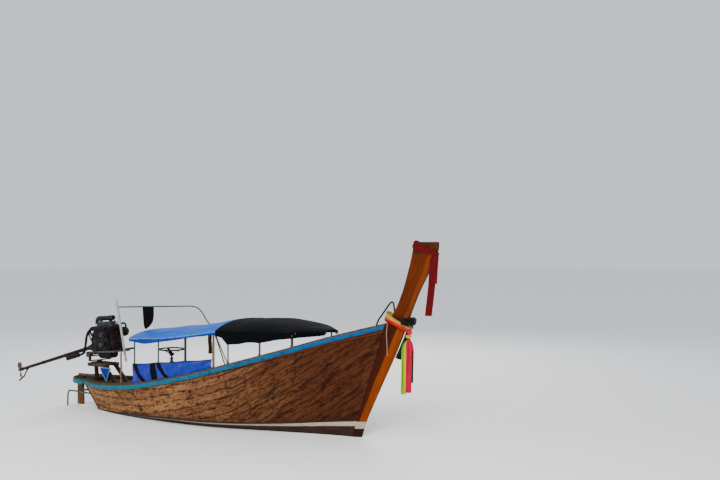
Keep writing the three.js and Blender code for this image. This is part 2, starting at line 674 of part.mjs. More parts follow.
// The bell housing behind the flywheel, and the tail tube that leaves it at a slight angle.
function buildTail() {
  const drumPart = drum('x', vec(-66, 0, SHAFT_Z), 103, 130, 24);
  const cone = drum('x', vec((BELL_END - 131) / 2, 0, SHAFT_Z), 60, -131 - BELL_END, 24, 99);
  add(tail, 'bell_housing', 'castIron', levelled(join(drumPart, cone)));
  const tubeEnd = 64 - TAIL_LENGTH;
  const middle = vec((COUPLING.x + tubeEnd) / 2, 0, COUPLING.z);
  const tube = drum('x', middle, TUBE_RADIUS - 3, COUPLING.x - tubeEnd, 16, TUBE_RADIUS);
  const collarA = drum('x', vec(COUPLING.x - 40, 0, COUPLING.z), 48, 104, 16);
  const collarB = drum('x', vec(tubeEnd + 36, 0, COUPLING.z), 34, 72, 16);
  add(tail, 'tail_tube', 'steel', fitted(join(tube, collarA, collarB), tailShapes(), SEAT_GAP));
}

function buildExhaust() {
  const { half } = ENGINE;
  const log = levelled(box(60, 440, -half - 32, -half + 22 - SEAT_GAP, 410, 465));
  const z = COUPLING.z;
  const downpipe = pipe([
    onEngine(100, -half - 5, 438), onEngine(-40, -half - 18, 428), onEngine(-160, -half - 10, 330),
    onEngine(-240, -130, 190), vec(-360, -100, z - 74), vec(-550, -92, z - 86),
  ], 24, 26, 10);
  const muffler = drum('x', vec(-750, -92, z - 88), 38, 420, 16);
  const clip = box(-740, -710, -92, -20, z - 82, z - 15);
  add(tail, 'exhaust', 'rust', fitted(join(log, downpipe, muffler, clip), tailShapes(), SEAT_GAP));
}

// The intake: a log on the port side, a bent pipe, and a long round air cleaner over the engine.
function buildIntake() {
  const { half, headTop } = ENGINE;
  const riser = pipe([
    vec(215, half + 10, 430), vec(215, half + 4, 540), vec(215, 48, headTop + 137),
  ], 28, 12, 10);
  const elbow = pipe([vec(-40, 45, 632), vec(-92, 45, 610), vec(-104, 45, 530)], 34, 12, 10);
  const intake = join(
    box(60, 440, half - 18 + SEAT_GAP, half + 34, 410, 460), riser,
    drum('x', vec(190, 45, headTop + 137), 45, 480, 24), elbow,
  );
  add(tail, 'air_cleaner', 'cover', fitted(levelled(intake), tailShapes(), SEAT_GAP));
}

function buildEngineFittings() {
  const { front, half } = ENGINE;
  const x = front + 36;
  const pulleys = join(
    drum('x', vec(x, 0, SHAFT_Z), 80, 26, 24), drum('x', vec(x, 0, 350), 118, 26, 24),
    box(x - 11, x + 11, -76, 76, SHAFT_Z, 350), drum('x', vec(x - 24, 0, SHAFT_Z), 26, 23, 16),
    drum('x', vec(x - 24, 0, 350), 40, 23, 16), drum('x', vec(x + 24, 0, 350), 46, 26, 16),
  );
  add(tail, 'belt_pulleys', 'castIron', levelled(pulleys));
  const bracket = box(430, 510, -218, -half - SEAT_GAP, 300, 350);
  const alternator = levelled(join(drum('x', vec(478, -218, 340), 60, 140, 20), bracket));
  add(tail, 'alternator', 'cover', fitted(alternator, tailShapes(), SEAT_GAP));
  const hose = levelled(pipe([
    vec(30, -40, 450), vec(-70, -60, 482), vec(-170, -64, 450), vec(-200, -30, 350), vec(-160, 10, 270),
    vec(-90, 30, 205),
  ], 15, 24, 8));
  add(tail, 'cooling_hose', 'rubber', fitted(hose, tailShapes(), SEAT_GAP));
  const handle = levelled(join(
    bar(vec(700, 0, 60), vec(1085, 0, 72), 13, 10), bar(vec(935, 0, 67.3), vec(1090, 0, 72.2), 19, 12),
    box(686, 718, -24, 24, 48.3, 74),
  ));
  add(tail, 'tiller_handle', 'steel', fitted(handle, [tailShape('engine_cradle')], SEAT_GAP));
  const [aft, z] = [-TAIL_LENGTH, COUPLING.z];
  const skeg = join(
    timber(vec(aft + 290, 0, z - 35), vec(aft + 110, 0, z - 160), 14, 34),
    timber(vec(aft + 125, 0, z - 152), vec(aft - 95, 0, z - 206), 14, 34),
    box(aft + 250, aft + 330, -14, 14, z - 44, z - 18),
  );
  add(tail, 'propeller_skeg', 'steel', fitted(skeg, [tailShape('tail_tube')], SEAT_GAP));
}

// Two twisted blades on a hub. Columns: radius, half chord, pitch angle in degrees, half thickness.
const BLADE = [
  [16, 26, 62, 7], [50, 40, 50, 5.5], [90, 46, 38, 4.5], [130, 38, 30, 3.5], [158, 18, 26, 2.5],
];

function blade(side) {
  return wall(BLADE.map(([radius, chord, pitch, thick]) => {
    const [c, s] = [Math.cos(rad(pitch)), Math.sin(rad(pitch))];
    const at = (along, off) => vec(along * s + off * c, side * (along * c - off * s), side * radius);
    return {
      outer: [at(-chord, -1), at(0, -thick), at(chord, -1)],
      inner: [at(-chord, 1), at(0, thick), at(chord, 1)],
    };
  }));
}

function buildPropeller() {
  const hub = drum('x', vec(-10, 0, 0), 22, 96, 20, 34);
  const shaft = drum('x', vec(50.25, 0, 0), 14, 26.5, 16);
  const propeller = add(tail, 'propeller', 'bronze', join(hub, shaft, blade(1), blade(-1)));
  propeller.position.set(-TAIL_LENGTH, 0, COUPLING.z);
}

// Canopy frame: a rail along each side on posts from the gunwale, and bows from rail to rail.
// The rails rise from the helm to the middle and draw in toward the bow, past the last posts.
const POSTS = {
  starboard: [-1450, -865, -275, 315, 600, 1165, 1690],
  port: [-1450, -865, 123, 819, 1690],
};
const POST_RADIUS = 13;
const RAIL_RADIUS = 13;
const BOW_RADIUS = 11;
const RAIL_LEVELS = [
  [-1580, 1343], [-1020, 1376], [-440, 1436], [315, 1553], [600, 1575], [1165, 1585], [1690, 1585],
  [2110, 1572],
];
const FORE_END = { x: 2030, half: 200 };

// Columns: x, rise of the bow above the rails.
const BOWS = [
  [-1450, 118], [-865, 150], [-275, 146], [315, 160], [500, 130], [820, 152], [1165, 160], [1690, 95], [2030, 40],
];

function railZ(x) {
  const i = THREE.MathUtils.clamp(RAIL_LEVELS.findIndex(([place]) => place > x), 1, RAIL_LEVELS.length - 1);
  const [[x0, z0], [x1, z1]] = [RAIL_LEVELS[i - 1], RAIL_LEVELS[i]];
  return lerp(z0, z1, (x - x0) / (x1 - x0));
}

function railHalf(x) {
  const last = POSTS.starboard.at(-1);
  if (x <= last) return sheerAt(x).half - 45;
  return lerp(sheerAt(last).half - 45, FORE_END.half, (x - last) / (FORE_END.x - last));
}

function canopySide(side, posts, cap) {
  const top = (x) => vec(x, railHalf(x) * side, railZ(x));
  const foot = (x, up) => vec(x, railHalf(x) * side, sheerAt(x).z + up);
  const uprights = posts.map((x) => bar(foot(x, 5), top(x), POST_RADIUS, 6));
  const turns = [-1500, ...RAIL_LEVELS.slice(1, -1).map(([x]) => x), FORE_END.x + 30];
  const rail = railThrough(turns.map(top), RAIL_RADIUS);
  const brace = bar(top(340), foot(575, 60), 9, 6);
  const parts = side < 0 ? [rail, ...uprights, brace] : [rail, ...uprights];
  return cut(join(...parts), moved(cap, 0, 0, SEAT_GAP));
}

const archPoint = (x, rise, half, across) => (
  vec(x, half * across, railZ(x) + rise * (1 - Math.abs(across) ** 2.5))
);

// The bows end on the inner face of each rail. A ridge pipe joins their tops.
function canopyBows(starboard, port) {
  const bows = BOWS.map(([x, rise]) => {
    const end = 1 - 6 / railHalf(x);
    const spans = [-end, -0.9, -0.7, -0.4, 0, 0.4, 0.7, 0.9, end];
    const points = spans.map((across) => archPoint(x, rise, railHalf(x), across));
    return pipe(points, BOW_RADIUS, 10, 6);
  });
  const tops = BOWS.map(([x, rise]) => archPoint(x, rise, 1, 0));
  const ridge = tops.slice(1).map((top, i) => bar(tops[i], top, 9, 6));
  const frame = cut(join(...bows, ...ridge), starboard, port);
  return cut(frame, moved(starboard, 0, SEAT_GAP, 0), moved(port, 0, -SEAT_GAP, 0));
}

// A cloth over the bows. Columns: x, rise above the rails, drop of the valance, lift off the bows.
const AFT_CLOTH = [
  [-1575, 105, 28, 1], [-1450, 118, 42, 1], [-1195, 134, 72, 1], [-865, 150, 50, 1], [-275, 146, 24, 1],
  [315, 160, 30, 1], [440, 142, 34, 1],
];
const FORE_CLOTH = [
  [380, 152, 60, 14], [452, 140, 74, 14], [500, 130, 84, 5], [600, 137, 195, 1], [820, 152, 178, 1],
  [1165, 160, 156, 1], [1450, 134, 100, 1], [1690, 95, 72, 1], [2030, 40, 36, 1], [2090, 30, 30, 1],
];
const ACROSS = [-1, -0.88, -0.68, -0.38, 0, 0.38, 0.68, 0.88, 1];
const CLOTH = 9;

function canopyCloth(sections) {
  return wall(sections.map(([x, rise, valance, lift]) => {
    const half = railHalf(x) + RAIL_RADIUS + 2 + lift;
    const row = (up) => [
      vec(x, -half - up, railZ(x) - valance),
      ...ACROSS.map((across) => {
        const p = archPoint(x, rise, half + up, across);
        return vec(p.x, p.y, p.z + BOW_RADIUS + lift + up);
      }),
      vec(x, half + up, railZ(x) - valance),
    ];
    return { outer: row(CLOTH), inner: row(0) };
  }));
}

function buildCanopy() {
  fix('canopy_side_starboard', 'teal', canopySide(-1, POSTS.starboard, made.gunwale_cap_starboard));
  fix('canopy_side_port', 'teal', canopySide(1, POSTS.port, made.gunwale_cap_port));
  const sides = neighbours('canopy_side_starboard', 'canopy_side_port');
  fix('canopy_bows', 'teal', canopyBows(...sides));
  const frame = [...sides, made.canopy_bows];
  fix('canopy_cloth_aft', 'blueTarp', fitted(canopyCloth(AFT_CLOTH), frame, SEAT_GAP));
  fix('canopy_cloth_fore', 'blackTarp', fitted(canopyCloth(FORE_CLOTH), frame, SEAT_GAP));
}

// Blue weather sheet along the starboard gunwale, hung on the posts' outer side.
function buildSideSheet() {
  const xs = [-1490, -1200, -865, -560, -275, -20, 225];
  const sheet = wall(xs.map((x) => {
    const y = railHalf(x) + POST_RADIUS - 1;
    const [low, high] = [sheerAt(x).z + CAP_THICK - 3, 930 + (x + 1490) * 0.11];
    const edge = (across) => [vec(x, across, high), vec(x, across, low)];
    return { outer: edge(-y - 10), inner: edge(-y) };
  }));
  const around = neighbours('canopy_side_starboard', 'gunwale_cap_starboard');
  fix('side_sheet', 'sideTarp', fitted(sheet, around, SEAT_GAP));
  const y = railHalf(240) - RAIL_RADIUS + 1;
  const cloth = box(205, 285, -y, -y + 14, 1150, railZ(240) + 4);
  fix('hanging_cloth', 'black', fitted(cloth, neighbours('canopy_side_starboard', 'canopy_bows'), SEAT_GAP));
}

// A black pennant under the arch. Columns: z, x and y of one edge, x and y of the other.
const PENNANT = [
  [1858, -1735, -246, -1662, -86],
  [1700, -1722, -215, -1675, -110],
  [1560, -1704, -180, -1690, -150],
];

// The slender arch over the helm, from a rod lashed to a pole on the starboard side to port.
function buildAftArch() {
  const foot = sheerAt(-1815);
  const pole = bar(vec(-1815, -foot.half + 45, foot.z + 10), vec(-1815, -foot.half + 45, 1125), 17, 8);
  fix('arch_pole', 'paleWood', fitted(pole, [made.gunwale_cap_starboard], SEAT_GAP));
  const lash = -foot.half + 45 + 17 + 12;
  const rod = bar(vec(-1725, lash, 945), vec(-1952, lash, 2000), 12.5, 8);
  const portFoot = sheerAt(-640);
  const cross = pipe([
    vec(-1928, lash, 1872), vec(-1700, -160, 1862), vec(-1420, 380, 1845), vec(-1315, 585, 1828),
    vec(-1250, 690, 1780), vec(-1150, 745, 1660), vec(-900, 772, 1380),
    vec(-640, portFoot.half - 6, portFoot.z + 8),
  ], 11, 40, 8, 0.3);
  const around = neighbours('arch_pole', 'gunwale_cap_port', 'canopy_side_port', 'canopy_cloth_aft');
  fix('aft_arch', 'teal', fitted(join(rod, cross), around, SEAT_GAP));
  const pennant = wall(PENNANT.map(([z, x0, y0, x1, y1]) => ({
    outer: [vec(x0, y0, z), vec(x1, y1, z)],
    inner: [vec(x0 + 9, y0 - 4, z), vec(x1 + 9, y1 - 4, z)],
  })));
  fix('pennant', 'black', fitted(pennant, [made.aft_arch], SEAT_GAP));
}

// Helm: a box and column on the floor, and the dished wheel on top.
function buildHelm() {
  const { x, y, z } = HELM;
  const pedestal = box(x - 70, x + 70, y - 60, y + 60, FLOOR_Z + SEAT_GAP, 520);
  const column = drum('z', vec(x, y, 770), 24, 520, 16);
  const lever = box(x - 16, x + 150, y - 12, y + 12, 930, 960);
  fix('helm_column', 'darkWood', join(pedestal, column, lever));
  const rim = new THREE.TorusGeometry(WHEEL_RADIUS - 14, 14, 7, 24);
  rim.translate(x, y, z + 85);
  const spokes = [0, 1, 2].map((n) => {
    const angle = rad(120 * n + 30);
    const reach = WHEEL_RADIUS - 14;
    return bar(vec(x, y, z), vec(x + reach * Math.cos(angle), y + reach * Math.sin(angle), z + 85), 9, 8);
  });
  const hub = drum('z', vec(x, y, z), 42, 50, 20);
  const shaft = drum('z', vec(x, y, z - 39.5), 16, 30, 16);
  fix('steering_wheel', 'black', join(rim, ...spokes, hub, shaft));
}

buildHull();
buildBow();
buildProwDressing();
buildStern();
buildRudder();
buildEngineBed();
buildYoke();
buildCradle();
buildEngine();
buildTail();
buildExhaust();
buildIntake();
buildEngineFittings();
buildPropeller();
buildCanopy();
buildSideSheet();
buildAftArch();
buildHelm();

export default boat;
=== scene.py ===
# %% [markdown]
# A small longtail boat, dressed around its CAD frame. The frame gives every solid at its true
# place. Each cell below takes one piece of the real boat, says what it is, and gives it the
# smoother shape, the seams and the worn finish that a plain solid lacks.

# %% The frame
import json
import random
from math import cos, exp, pi, radians, sin, sqrt

import bmesh
import bpy
from mathutils import Matrix, Vector

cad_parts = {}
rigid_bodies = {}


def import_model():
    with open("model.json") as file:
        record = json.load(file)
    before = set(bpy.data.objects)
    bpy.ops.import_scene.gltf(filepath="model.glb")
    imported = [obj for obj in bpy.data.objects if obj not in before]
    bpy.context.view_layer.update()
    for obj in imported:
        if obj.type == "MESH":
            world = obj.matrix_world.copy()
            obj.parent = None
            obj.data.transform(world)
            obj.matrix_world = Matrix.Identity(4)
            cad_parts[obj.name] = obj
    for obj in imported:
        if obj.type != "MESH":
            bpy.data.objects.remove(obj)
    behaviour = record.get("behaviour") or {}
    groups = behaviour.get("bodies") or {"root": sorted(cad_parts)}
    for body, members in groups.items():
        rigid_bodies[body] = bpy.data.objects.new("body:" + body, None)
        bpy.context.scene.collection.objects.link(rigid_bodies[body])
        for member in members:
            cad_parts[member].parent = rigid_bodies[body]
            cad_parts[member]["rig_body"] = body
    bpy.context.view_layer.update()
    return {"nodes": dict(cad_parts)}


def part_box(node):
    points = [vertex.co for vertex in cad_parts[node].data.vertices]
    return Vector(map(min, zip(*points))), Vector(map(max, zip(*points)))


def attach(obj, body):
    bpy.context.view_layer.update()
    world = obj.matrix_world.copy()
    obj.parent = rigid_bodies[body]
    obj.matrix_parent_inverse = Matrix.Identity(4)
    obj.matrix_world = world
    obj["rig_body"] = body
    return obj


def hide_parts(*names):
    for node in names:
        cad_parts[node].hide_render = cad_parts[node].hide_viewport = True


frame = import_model()


def linked(name, data):
    """A new object in the scene."""
    made = bpy.data.objects.new(name, data)
    bpy.context.scene.collection.objects.link(made)
    return made


# %% [markdown]
# The photograph was taken from the starboard bow, about three metres above the water and level.
# Its horizon gives the height, and the hull's lines give the turn of thirty degrees. The camera
# comes first because every later choice of detail is judged through it.

# %% The camera
CAMERA_PLACE = (9.863, -12.642, 3.0)
CAMERA_TURN = 30.0
camera_data = bpy.data.cameras.new("photo_view")
camera_data.lens = 47.5
camera_data.sensor_width = 36.0
camera_data.shift_y = 0.0021
camera = linked("photo_view", camera_data)
camera.location = CAMERA_PLACE
camera.rotation_euler = (radians(90), 0, radians(CAMERA_TURN))
bpy.context.scene.camera = camera
print("camera at", CAMERA_PLACE)


# %% [markdown]
# A few helpers make meshes from points. Each returns a list of points and a list of faces, so
# that small shapes can be gathered into one piece before Blender sees them.

# %% Mesh helpers
def vec(x, y, z):
    return Vector((x, y, z))


def shares(count):
    """Equal steps from 0 to 1, with both ends."""
    return [n / count for n in range(count + 1)]


def angles(count, start=0.0):
    """Equal steps of angle round a circle."""
    return [2 * pi * (n + start) / count for n in range(count)]


def row_grid(rows, around=False, caps=True):
    """A skin over rows of points. around joins each row's ends, caps closes the first and last."""
    count = len(rows[0])
    points = [tuple(p) for row in rows for p in row]
    faces = []
    last = count if around else count - 1
    for i in range(len(rows) - 1):
        for j in range(last):
            k = (j + 1) % count
            faces.append((i * count + j, i * count + k, (i + 1) * count + k, (i + 1) * count + j))
    if around and caps:
        faces.append(tuple(range(count - 1, -1, -1)))
        faces.append(tuple((len(rows) - 1) * count + j for j in range(count)))
    return points, faces


def smooth_path(points, steps):
    """Points along a Catmull-Rom curve through the given ones."""
    points = [Vector(p) for p in points]
    path = []
    for i in range(len(points) - 1):
        before = points[max(i - 1, 0)]
        a, b = points[i], points[i + 1]
        after = points[min(i + 2, len(points) - 1)]
        for s in range(steps):
            t = s / steps
            path.append(0.5 * ((2 * a) + (b - before) * t + (2 * before - 5 * a + 4 * b - after) * t ** 2
                               + (3 * a - before - 3 * b + after) * t ** 3))
    path.append(points[-1])
    return path


def frames_along(path):
    """Side and up directions that turn as little as they can along a path."""
    ahead = (path[1] - path[0]).normalized()
    up = vec(0, 0, 1) if abs(ahead.z) < 0.9 else vec(0, 1, 0)
    side = ahead.cross(up).normalized()
    found = []
    for i, p in enumerate(path):
        a = path[max(i - 1, 0)]
        b = path[min(i + 1, len(path) - 1)]
        ahead = (b - a).normalized()
        side = (side - ahead * side.dot(ahead)).normalized()
        found.append((side.copy(), ahead.cross(side)))
    return found


def tube(points, radius, sides, steps=0, radii=None):
    """A closed round tube along points, smoothed when steps is given. radii may vary the radius."""
    path = smooth_path(points, steps) if steps else [Vector(p) for p in points]
    rows = []
    for i, (p, (side, up)) in enumerate(zip(path, frames_along(path))):
        r = radii(i / (len(path) - 1)) if radii else radius
        rows.append([p + (side * cos(a) + up * sin(a)) * r for a in angles(sides)])
    return row_grid(rows, around=True)


def turned(profile, centre, axis, sides):
    """A turned shape. profile lists (along, radius) from one end to the other."""
    rows = []
    for along, radius in profile:
        row = []
        for a in angles(sides):
            c, s = radius * cos(a), radius * sin(a)
            offset = {"x": (along, c, s), "y": (s, along, c), "z": (c, s, along)}[axis]
            row.append(Vector(centre) + Vector(offset))
        rows.append(row)
    return row_grid(rows, around=True)


def block(low, high):
    """A plain block between two corners, rounded later by its piece's bevel."""
    (x0, y0, z0), (x1, y1, z1) = low, high
    points = [(x, y, z) for x in (x0, x1) for y in (y0, y1) for z in (z0, z1)]
    faces = [(0, 1, 3, 2), (4, 6, 7, 5), (0, 4, 5, 1), (2, 3, 7, 6), (0, 2, 6, 4), (1, 5, 7, 3)]
    return points, faces


def gathered(*shapes):
    """Several point and face lists as one."""
    points, faces = [], []
    for shape_points, shape_faces in shapes:
        start = len(points)
        points += [tuple(p) for p in shape_points]
        faces += [tuple(start + i for i in f) for f in shape_faces]
    return points, faces


# %% [markdown]
# A finished piece needs a mesh at the origin, normals that face out, soft edges, a material and a
# body that it rides on. One function does this for all of them, so that no piece forgets a step.

# %% Piece helpers
TRIANGLES = {}


def apply_modifiers(piece):
    """The piece's evaluated mesh takes the place of its own, and its modifiers go."""
    graph = bpy.context.evaluated_depsgraph_get()
    mesh = bpy.data.meshes.new_from_object(piece.evaluated_get(graph), depsgraph=graph)
    old = piece.data
    piece.modifiers.clear()
    piece.data = mesh
    bpy.data.meshes.remove(old)


def finished(piece, materials, body, slot, replaces=(), bevel=0.0, segments=2, sharp=35.0):
    """Soft edges, smooth shading, materials and the frame's calls."""
    for material in materials:
        if material.name not in [m.name for m in piece.data.materials if m]:
            piece.data.materials.append(material)
    if bevel:
        soft = piece.modifiers.new("soft_edges", "BEVEL")
        soft.width = bevel
        soft.segments = segments
        soft.limit_method = "ANGLE"
        soft.angle_limit = radians(32)
        soft.use_clamp_overlap = True
        bpy.context.view_layer.update()
        apply_modifiers(piece)
    piece.data.shade_smooth()
    piece.data.set_sharp_from_angle(angle=radians(sharp))
    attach(piece, body)
    if replaces:
        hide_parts(*replaces)
    TRIANGLES[piece.name] = sum(len(p.vertices) - 2 for p in piece.data.polygons)
    return piece


def mesh_object(name, shape, fix_normals=True, merge=1e-6):
    """An object from a point and face list, its doubles merged and its faces turned outwards."""
    mesh = bpy.data.meshes.new(name)
    mesh.from_pydata(shape[0], [], shape[1])
    bm = bmesh.new()
    bm.from_mesh(mesh)
    if merge:
        bmesh.ops.remove_doubles(bm, verts=bm.verts, dist=merge)
    if fix_normals:
        bmesh.ops.recalc_face_normals(bm, faces=bm.faces)
    bm.to_mesh(mesh)
    bm.free()
    return linked(name, mesh)


def make(name, shape, material, body, slot, **options):
    """A finished piece from a point and face list."""
    return finished(mesh_object(name, shape), [material], body, slot, **options)


def softened(node, material, slot, bevel, segments=2):
    """A merged copy of a CAD node with rounded edges, which stands for it."""
    source = frame["nodes"][node]
    bm = bmesh.new()
    bm.from_mesh(source.data)
    bmesh.ops.remove_doubles(bm, verts=bm.verts, dist=2e-5)
    bmesh.ops.dissolve_limit(bm, angle_limit=radians(0.6), verts=bm.verts, edges=bm.edges)
    mesh = bpy.data.meshes.new(node + "_finish")
    bm.to_mesh(mesh)
    bm.free()
    return finished(linked(mesh.name, mesh), [material], source["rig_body"], slot, (node,), bevel, segments)


def write_values(piece, name, values):
    """Writes one number for each vertex, for a material to read."""
    piece.data.attributes.new(name, "FLOAT", "POINT").data.foreach_set("value", values)


def write_map(piece, name, values):
    """Writes one map coordinate for each vertex."""
    layer = piece.data.uv_layers.new(name=name)
    for loop in piece.data.loops:
        layer.data[loop.index].uv = values[loop.vertex_index]


# %% [markdown]
# Finishes are built from shared effects: grain, stains, worn edges and weave. Each effect is a
# node group that puts out colours, masks and heights only, and the shader stays in the material.

# %% Node helpers
DEPTH, RICHNESS = 0.42, 1.30


def light(text):
    """A colour written as six hex digits, in Blender's linear light. The film curve of the
    render pales every colour, so each is made deeper and richer first."""
    parts = [int(text[i:i + 2], 16) / 255 for i in (0, 2, 4)]
    parts = [((c + 0.055) / 1.055) ** 2.4 if c > 0.04045 else c / 12.92 for c in parts]
    grey = 0.25 * parts[0] + 0.60 * parts[1] + 0.15 * parts[2]
    return tuple(max(grey + (c - grey) * RICHNESS, 0.0) * DEPTH for c in parts) + (1.0,)


class Net:
    """A node tree with short ways to add a node and to link it."""

    def __init__(self, tree, material=None):
        self.tree, self.material = tree, material
        self.shader = tree.nodes["Principled BSDF"] if material else None

    def node(self, kind, inputs=None, **settings):
        made = self.tree.nodes.new(kind if "Node" in kind else "ShaderNode" + kind)
        for key, value in settings.items():
            setattr(made, key, value)
        for key, value in (inputs or {}).items():
            self.feed(made.inputs[key], value)
        return made

    def feed(self, socket, value):
        if isinstance(value, bpy.types.NodeSocket):
            self.tree.links.new(value, socket)
        else:
            socket.default_value = value

    def mix(self, a, b, factor):
        return self.node("Mix", {0: factor, 6: a, 7: b}, data_type="RGBA").outputs[2]

    def tint(self, colour, text, factor):
        """A colour moved toward one that is written as hex digits."""
        return self.mix(colour, light(text), factor)

    def maths(self, operation, a, b, clamp=False):
        return self.node("Math", {0: a, 1: b}, operation=operation, use_clamp=clamp).outputs[0]

    def times(self, a, b, clamp=False):
        return self.maths("MULTIPLY", a, b, clamp)

    def noise(self, vector, scale, detail, rough=0.55, distort=0.0):
        return self.node("TexNoise", {"Vector": vector, "Scale": scale, "Detail": detail, "Roughness": rough,
                                      "Distortion": distort}).outputs["Fac"]

    def spread(self, value, low, high, out_low=0.0, out_high=1.0):
        """low and high of the value become out_low and out_high, and beyond them it stays level."""
        return self.node("MapRange", {"Value": value, "From Min": low, "From Max": high, "To Min": out_low,
                                      "To Max": out_high}).outputs["Result"]

    def stretched(self, vector, scale):
        return self.node("VectorMath", {0: vector, 1: scale}, operation="MULTIPLY").outputs["Vector"]

    def axes(self, vector):
        return self.node("SeparateXYZ", {"Vector": vector}).outputs

    def lying(self, vector, y=0, z=0):
        """The pattern's coordinates, turned by degrees around Y and Z."""
        turn = (0, radians(y), radians(z))
        return self.node("Mapping", {"Vector": vector, "Rotation": turn}).outputs["Vector"]

    def mask(self, tree, vector, **inputs):
        """The mask of a stain or wear group. Its inputs are Scale and Amount."""
        return self.group(tree, {"Vector": vector, **inputs})["Mask"]

    def carried(self, name):
        """The numbers that write_values put on the mesh."""
        return self.node("Attribute", attribute_name=name).outputs["Fac"]

    def closed(self, colour, rough, height, strength, distance, **more):
        """Feeds the material's shader its colour, roughness and bump, and gives the material."""
        bump = self.node("Bump", {"Height": height, "Strength": strength, "Distance": distance})
        inputs = {"Base Color": colour, "Roughness": rough, "Normal": bump.outputs["Normal"], **more}
        for key, value in inputs.items():
            self.feed(self.shader.inputs[key], value)
        return self.material

    def group(self, tree, inputs):
        return self.node("Group", inputs, node_tree=tree).outputs


def effect(name, inputs, outputs):
    """A new effect group. inputs and outputs list (name, kind)."""
    tree = bpy.data.node_groups.new(name, "ShaderNodeTree")
    kinds = {"value": "NodeSocketFloat", "colour": "NodeSocketColor", "vector": "NodeSocketVector"}
    for socket, kind in inputs:
        tree.interface.new_socket(socket, in_out="INPUT", socket_type=kinds[kind])
    for socket, kind in outputs:
        tree.interface.new_socket(socket, in_out="OUTPUT", socket_type=kinds[kind])
    net = Net(tree)
    return net, tree.nodes.new("NodeGroupInput").outputs, tree.nodes.new("NodeGroupOutput").inputs


# %% Shared effects
def build_grain():
    """Timber: long streaks along the first axis, fine pores, and a slow change of tone."""
    net, given, out = effect("timber_grain", [("Vector", "vector"), ("Light", "colour"), ("Dark", "colour")],
                             [("Color", "colour"), ("Height", "value"), ("Streak", "value")])
    long_streaks = net.noise(net.stretched(given["Vector"], (0.9, 14.0, 14.0)), 2.4, 8.0, 0.62, 0.6)
    pores = net.noise(net.stretched(given["Vector"], (6.0, 110.0, 110.0)), 2.0, 6.0, 0.6)
    patches = net.noise(given["Vector"], 1.7, 3.0)
    streak = net.spread(long_streaks, 0.32, 0.68)
    tone = net.maths("ADD", net.times(streak, 0.62), net.times(patches, 0.5))
    tone = net.maths("ADD", tone, net.spread(pores, 0.3, 0.7, -0.14, 0.1), clamp=True)
    net.feed(out["Color"], net.mix(given["Dark"], given["Light"], tone))
    net.feed(out["Height"], net.maths("ADD", net.times(pores, 0.6), long_streaks))
    net.feed(out["Streak"], streak)
    return net.tree


def build_stain():
    """Blotches of dirt, oil or rust. Amount runs from none, 0, to nearly all, 1."""
    net, given, out = effect("stain", [("Vector", "vector"), ("Scale", "value"), ("Amount", "value")],
                             [("Mask", "value")])
    broad = net.noise(given["Vector"], given["Scale"], 7.0, 0.66, 0.3)
    edge = net.maths("SUBTRACT", 0.72, net.times(given["Amount"], 0.5))
    net.feed(out["Mask"], net.spread(net.maths("SUBTRACT", broad, edge), -0.03, 0.09))
    return net.tree


def build_wear():
    """Rubbed edges: the corners that stand out, broken up by noise."""
    net, given, out = effect("edge_wear", [("Vector", "vector"), ("Amount", "value")], [("Mask", "value")])
    bend = net.node("NewGeometry").outputs["Pointiness"]
    rubbed = net.spread(bend, 0.51, 0.60)
    broken = net.noise(given["Vector"], 38.0, 5.0, 0.6)
    mask = net.times(rubbed, net.spread(broken, 0.38, 0.62))
    net.feed(out["Mask"], net.times(mask, given["Amount"], clamp=True))
    return net.tree


def build_weave():
    """Plain weave: two sets of threads, one over the other. Threads is their number in a metre."""
    net, given, out = effect("weave", [("Vector", "vector"), ("Threads", "value")],
                             [("Height", "value"), ("Tone", "value")])
    bands = []
    for direction in ("X", "Y"):
        wave = net.node("TexWave", {"Vector": given["Vector"], "Distortion": 0.6, "Detail": 1.0},
                        bands_direction=direction)
        net.feed(wave.inputs["Scale"], net.times(given["Threads"], 0.159))
        bands.append(wave.outputs["Fac"])
    net.feed(out["Height"], net.maths("MAXIMUM", bands[0], bands[1]))
    net.feed(out["Tone"], net.noise(net.stretched(given["Vector"], (3.0, 40.0, 1.0)), 3.0, 5.0))
    return net.tree


GRAIN, STAIN, WEAR, WEAVE = build_grain(), build_stain(), build_wear(), build_weave()
print("effects", [tree.name for tree in (GRAIN, STAIN, WEAR, WEAVE)])


# %% [markdown]
# A material starts with its shader and the coordinates that its pattern reads. Hard pieces read
# Object coordinates, which are the boat's own metres, and cloth reads its own map, so that the
# weave follows the folds.

# %% Material helpers
MATT = 0.08  # Specular level of bare wood, cloth and chalky paint


def new_material(name, coordinates="Object", shine=0.2):
    material = bpy.data.materials.new(name)
    material.use_nodes = True
    net = Net(material.node_tree, material)
    net.feed(net.shader.inputs["Specular IOR Level"], shine)
    if coordinates == "Object":
        vector = net.node("TexCoord").outputs["Object"]
    else:
        vector = net.node("UVMap", uv_map=coordinates).outputs["UV"]
    return net, vector


def timber_material(name, pale, dark, rough, grime, worn, axis="x"):
    """Bare or oiled timber with grime in it and rubbed corners. Its grain lies along the axis."""
    net, vector = new_material(name, shine=MATT)
    along = net.lying(vector, **{"x": {}, "y": {"z": 90}, "z": {"y": 90}}[axis])
    wood = net.group(GRAIN, {"Vector": along, "Light": light(pale), "Dark": light(dark)})
    dirt = net.mask(STAIN, vector, Scale=5.0, Amount=grime)
    rubbed = net.mask(WEAR, vector, Amount=worn)
    shade = net.tint(wood["Color"], "2a221b", net.times(dirt, 0.6))
    shade = net.tint(shade, "a58f74", rubbed)
    rough = net.spread(wood["Streak"], 0.0, 1.0, rough + 0.12, rough - 0.08)
    return net.closed(shade, rough, wood["Height"], 0.35, 0.0015)


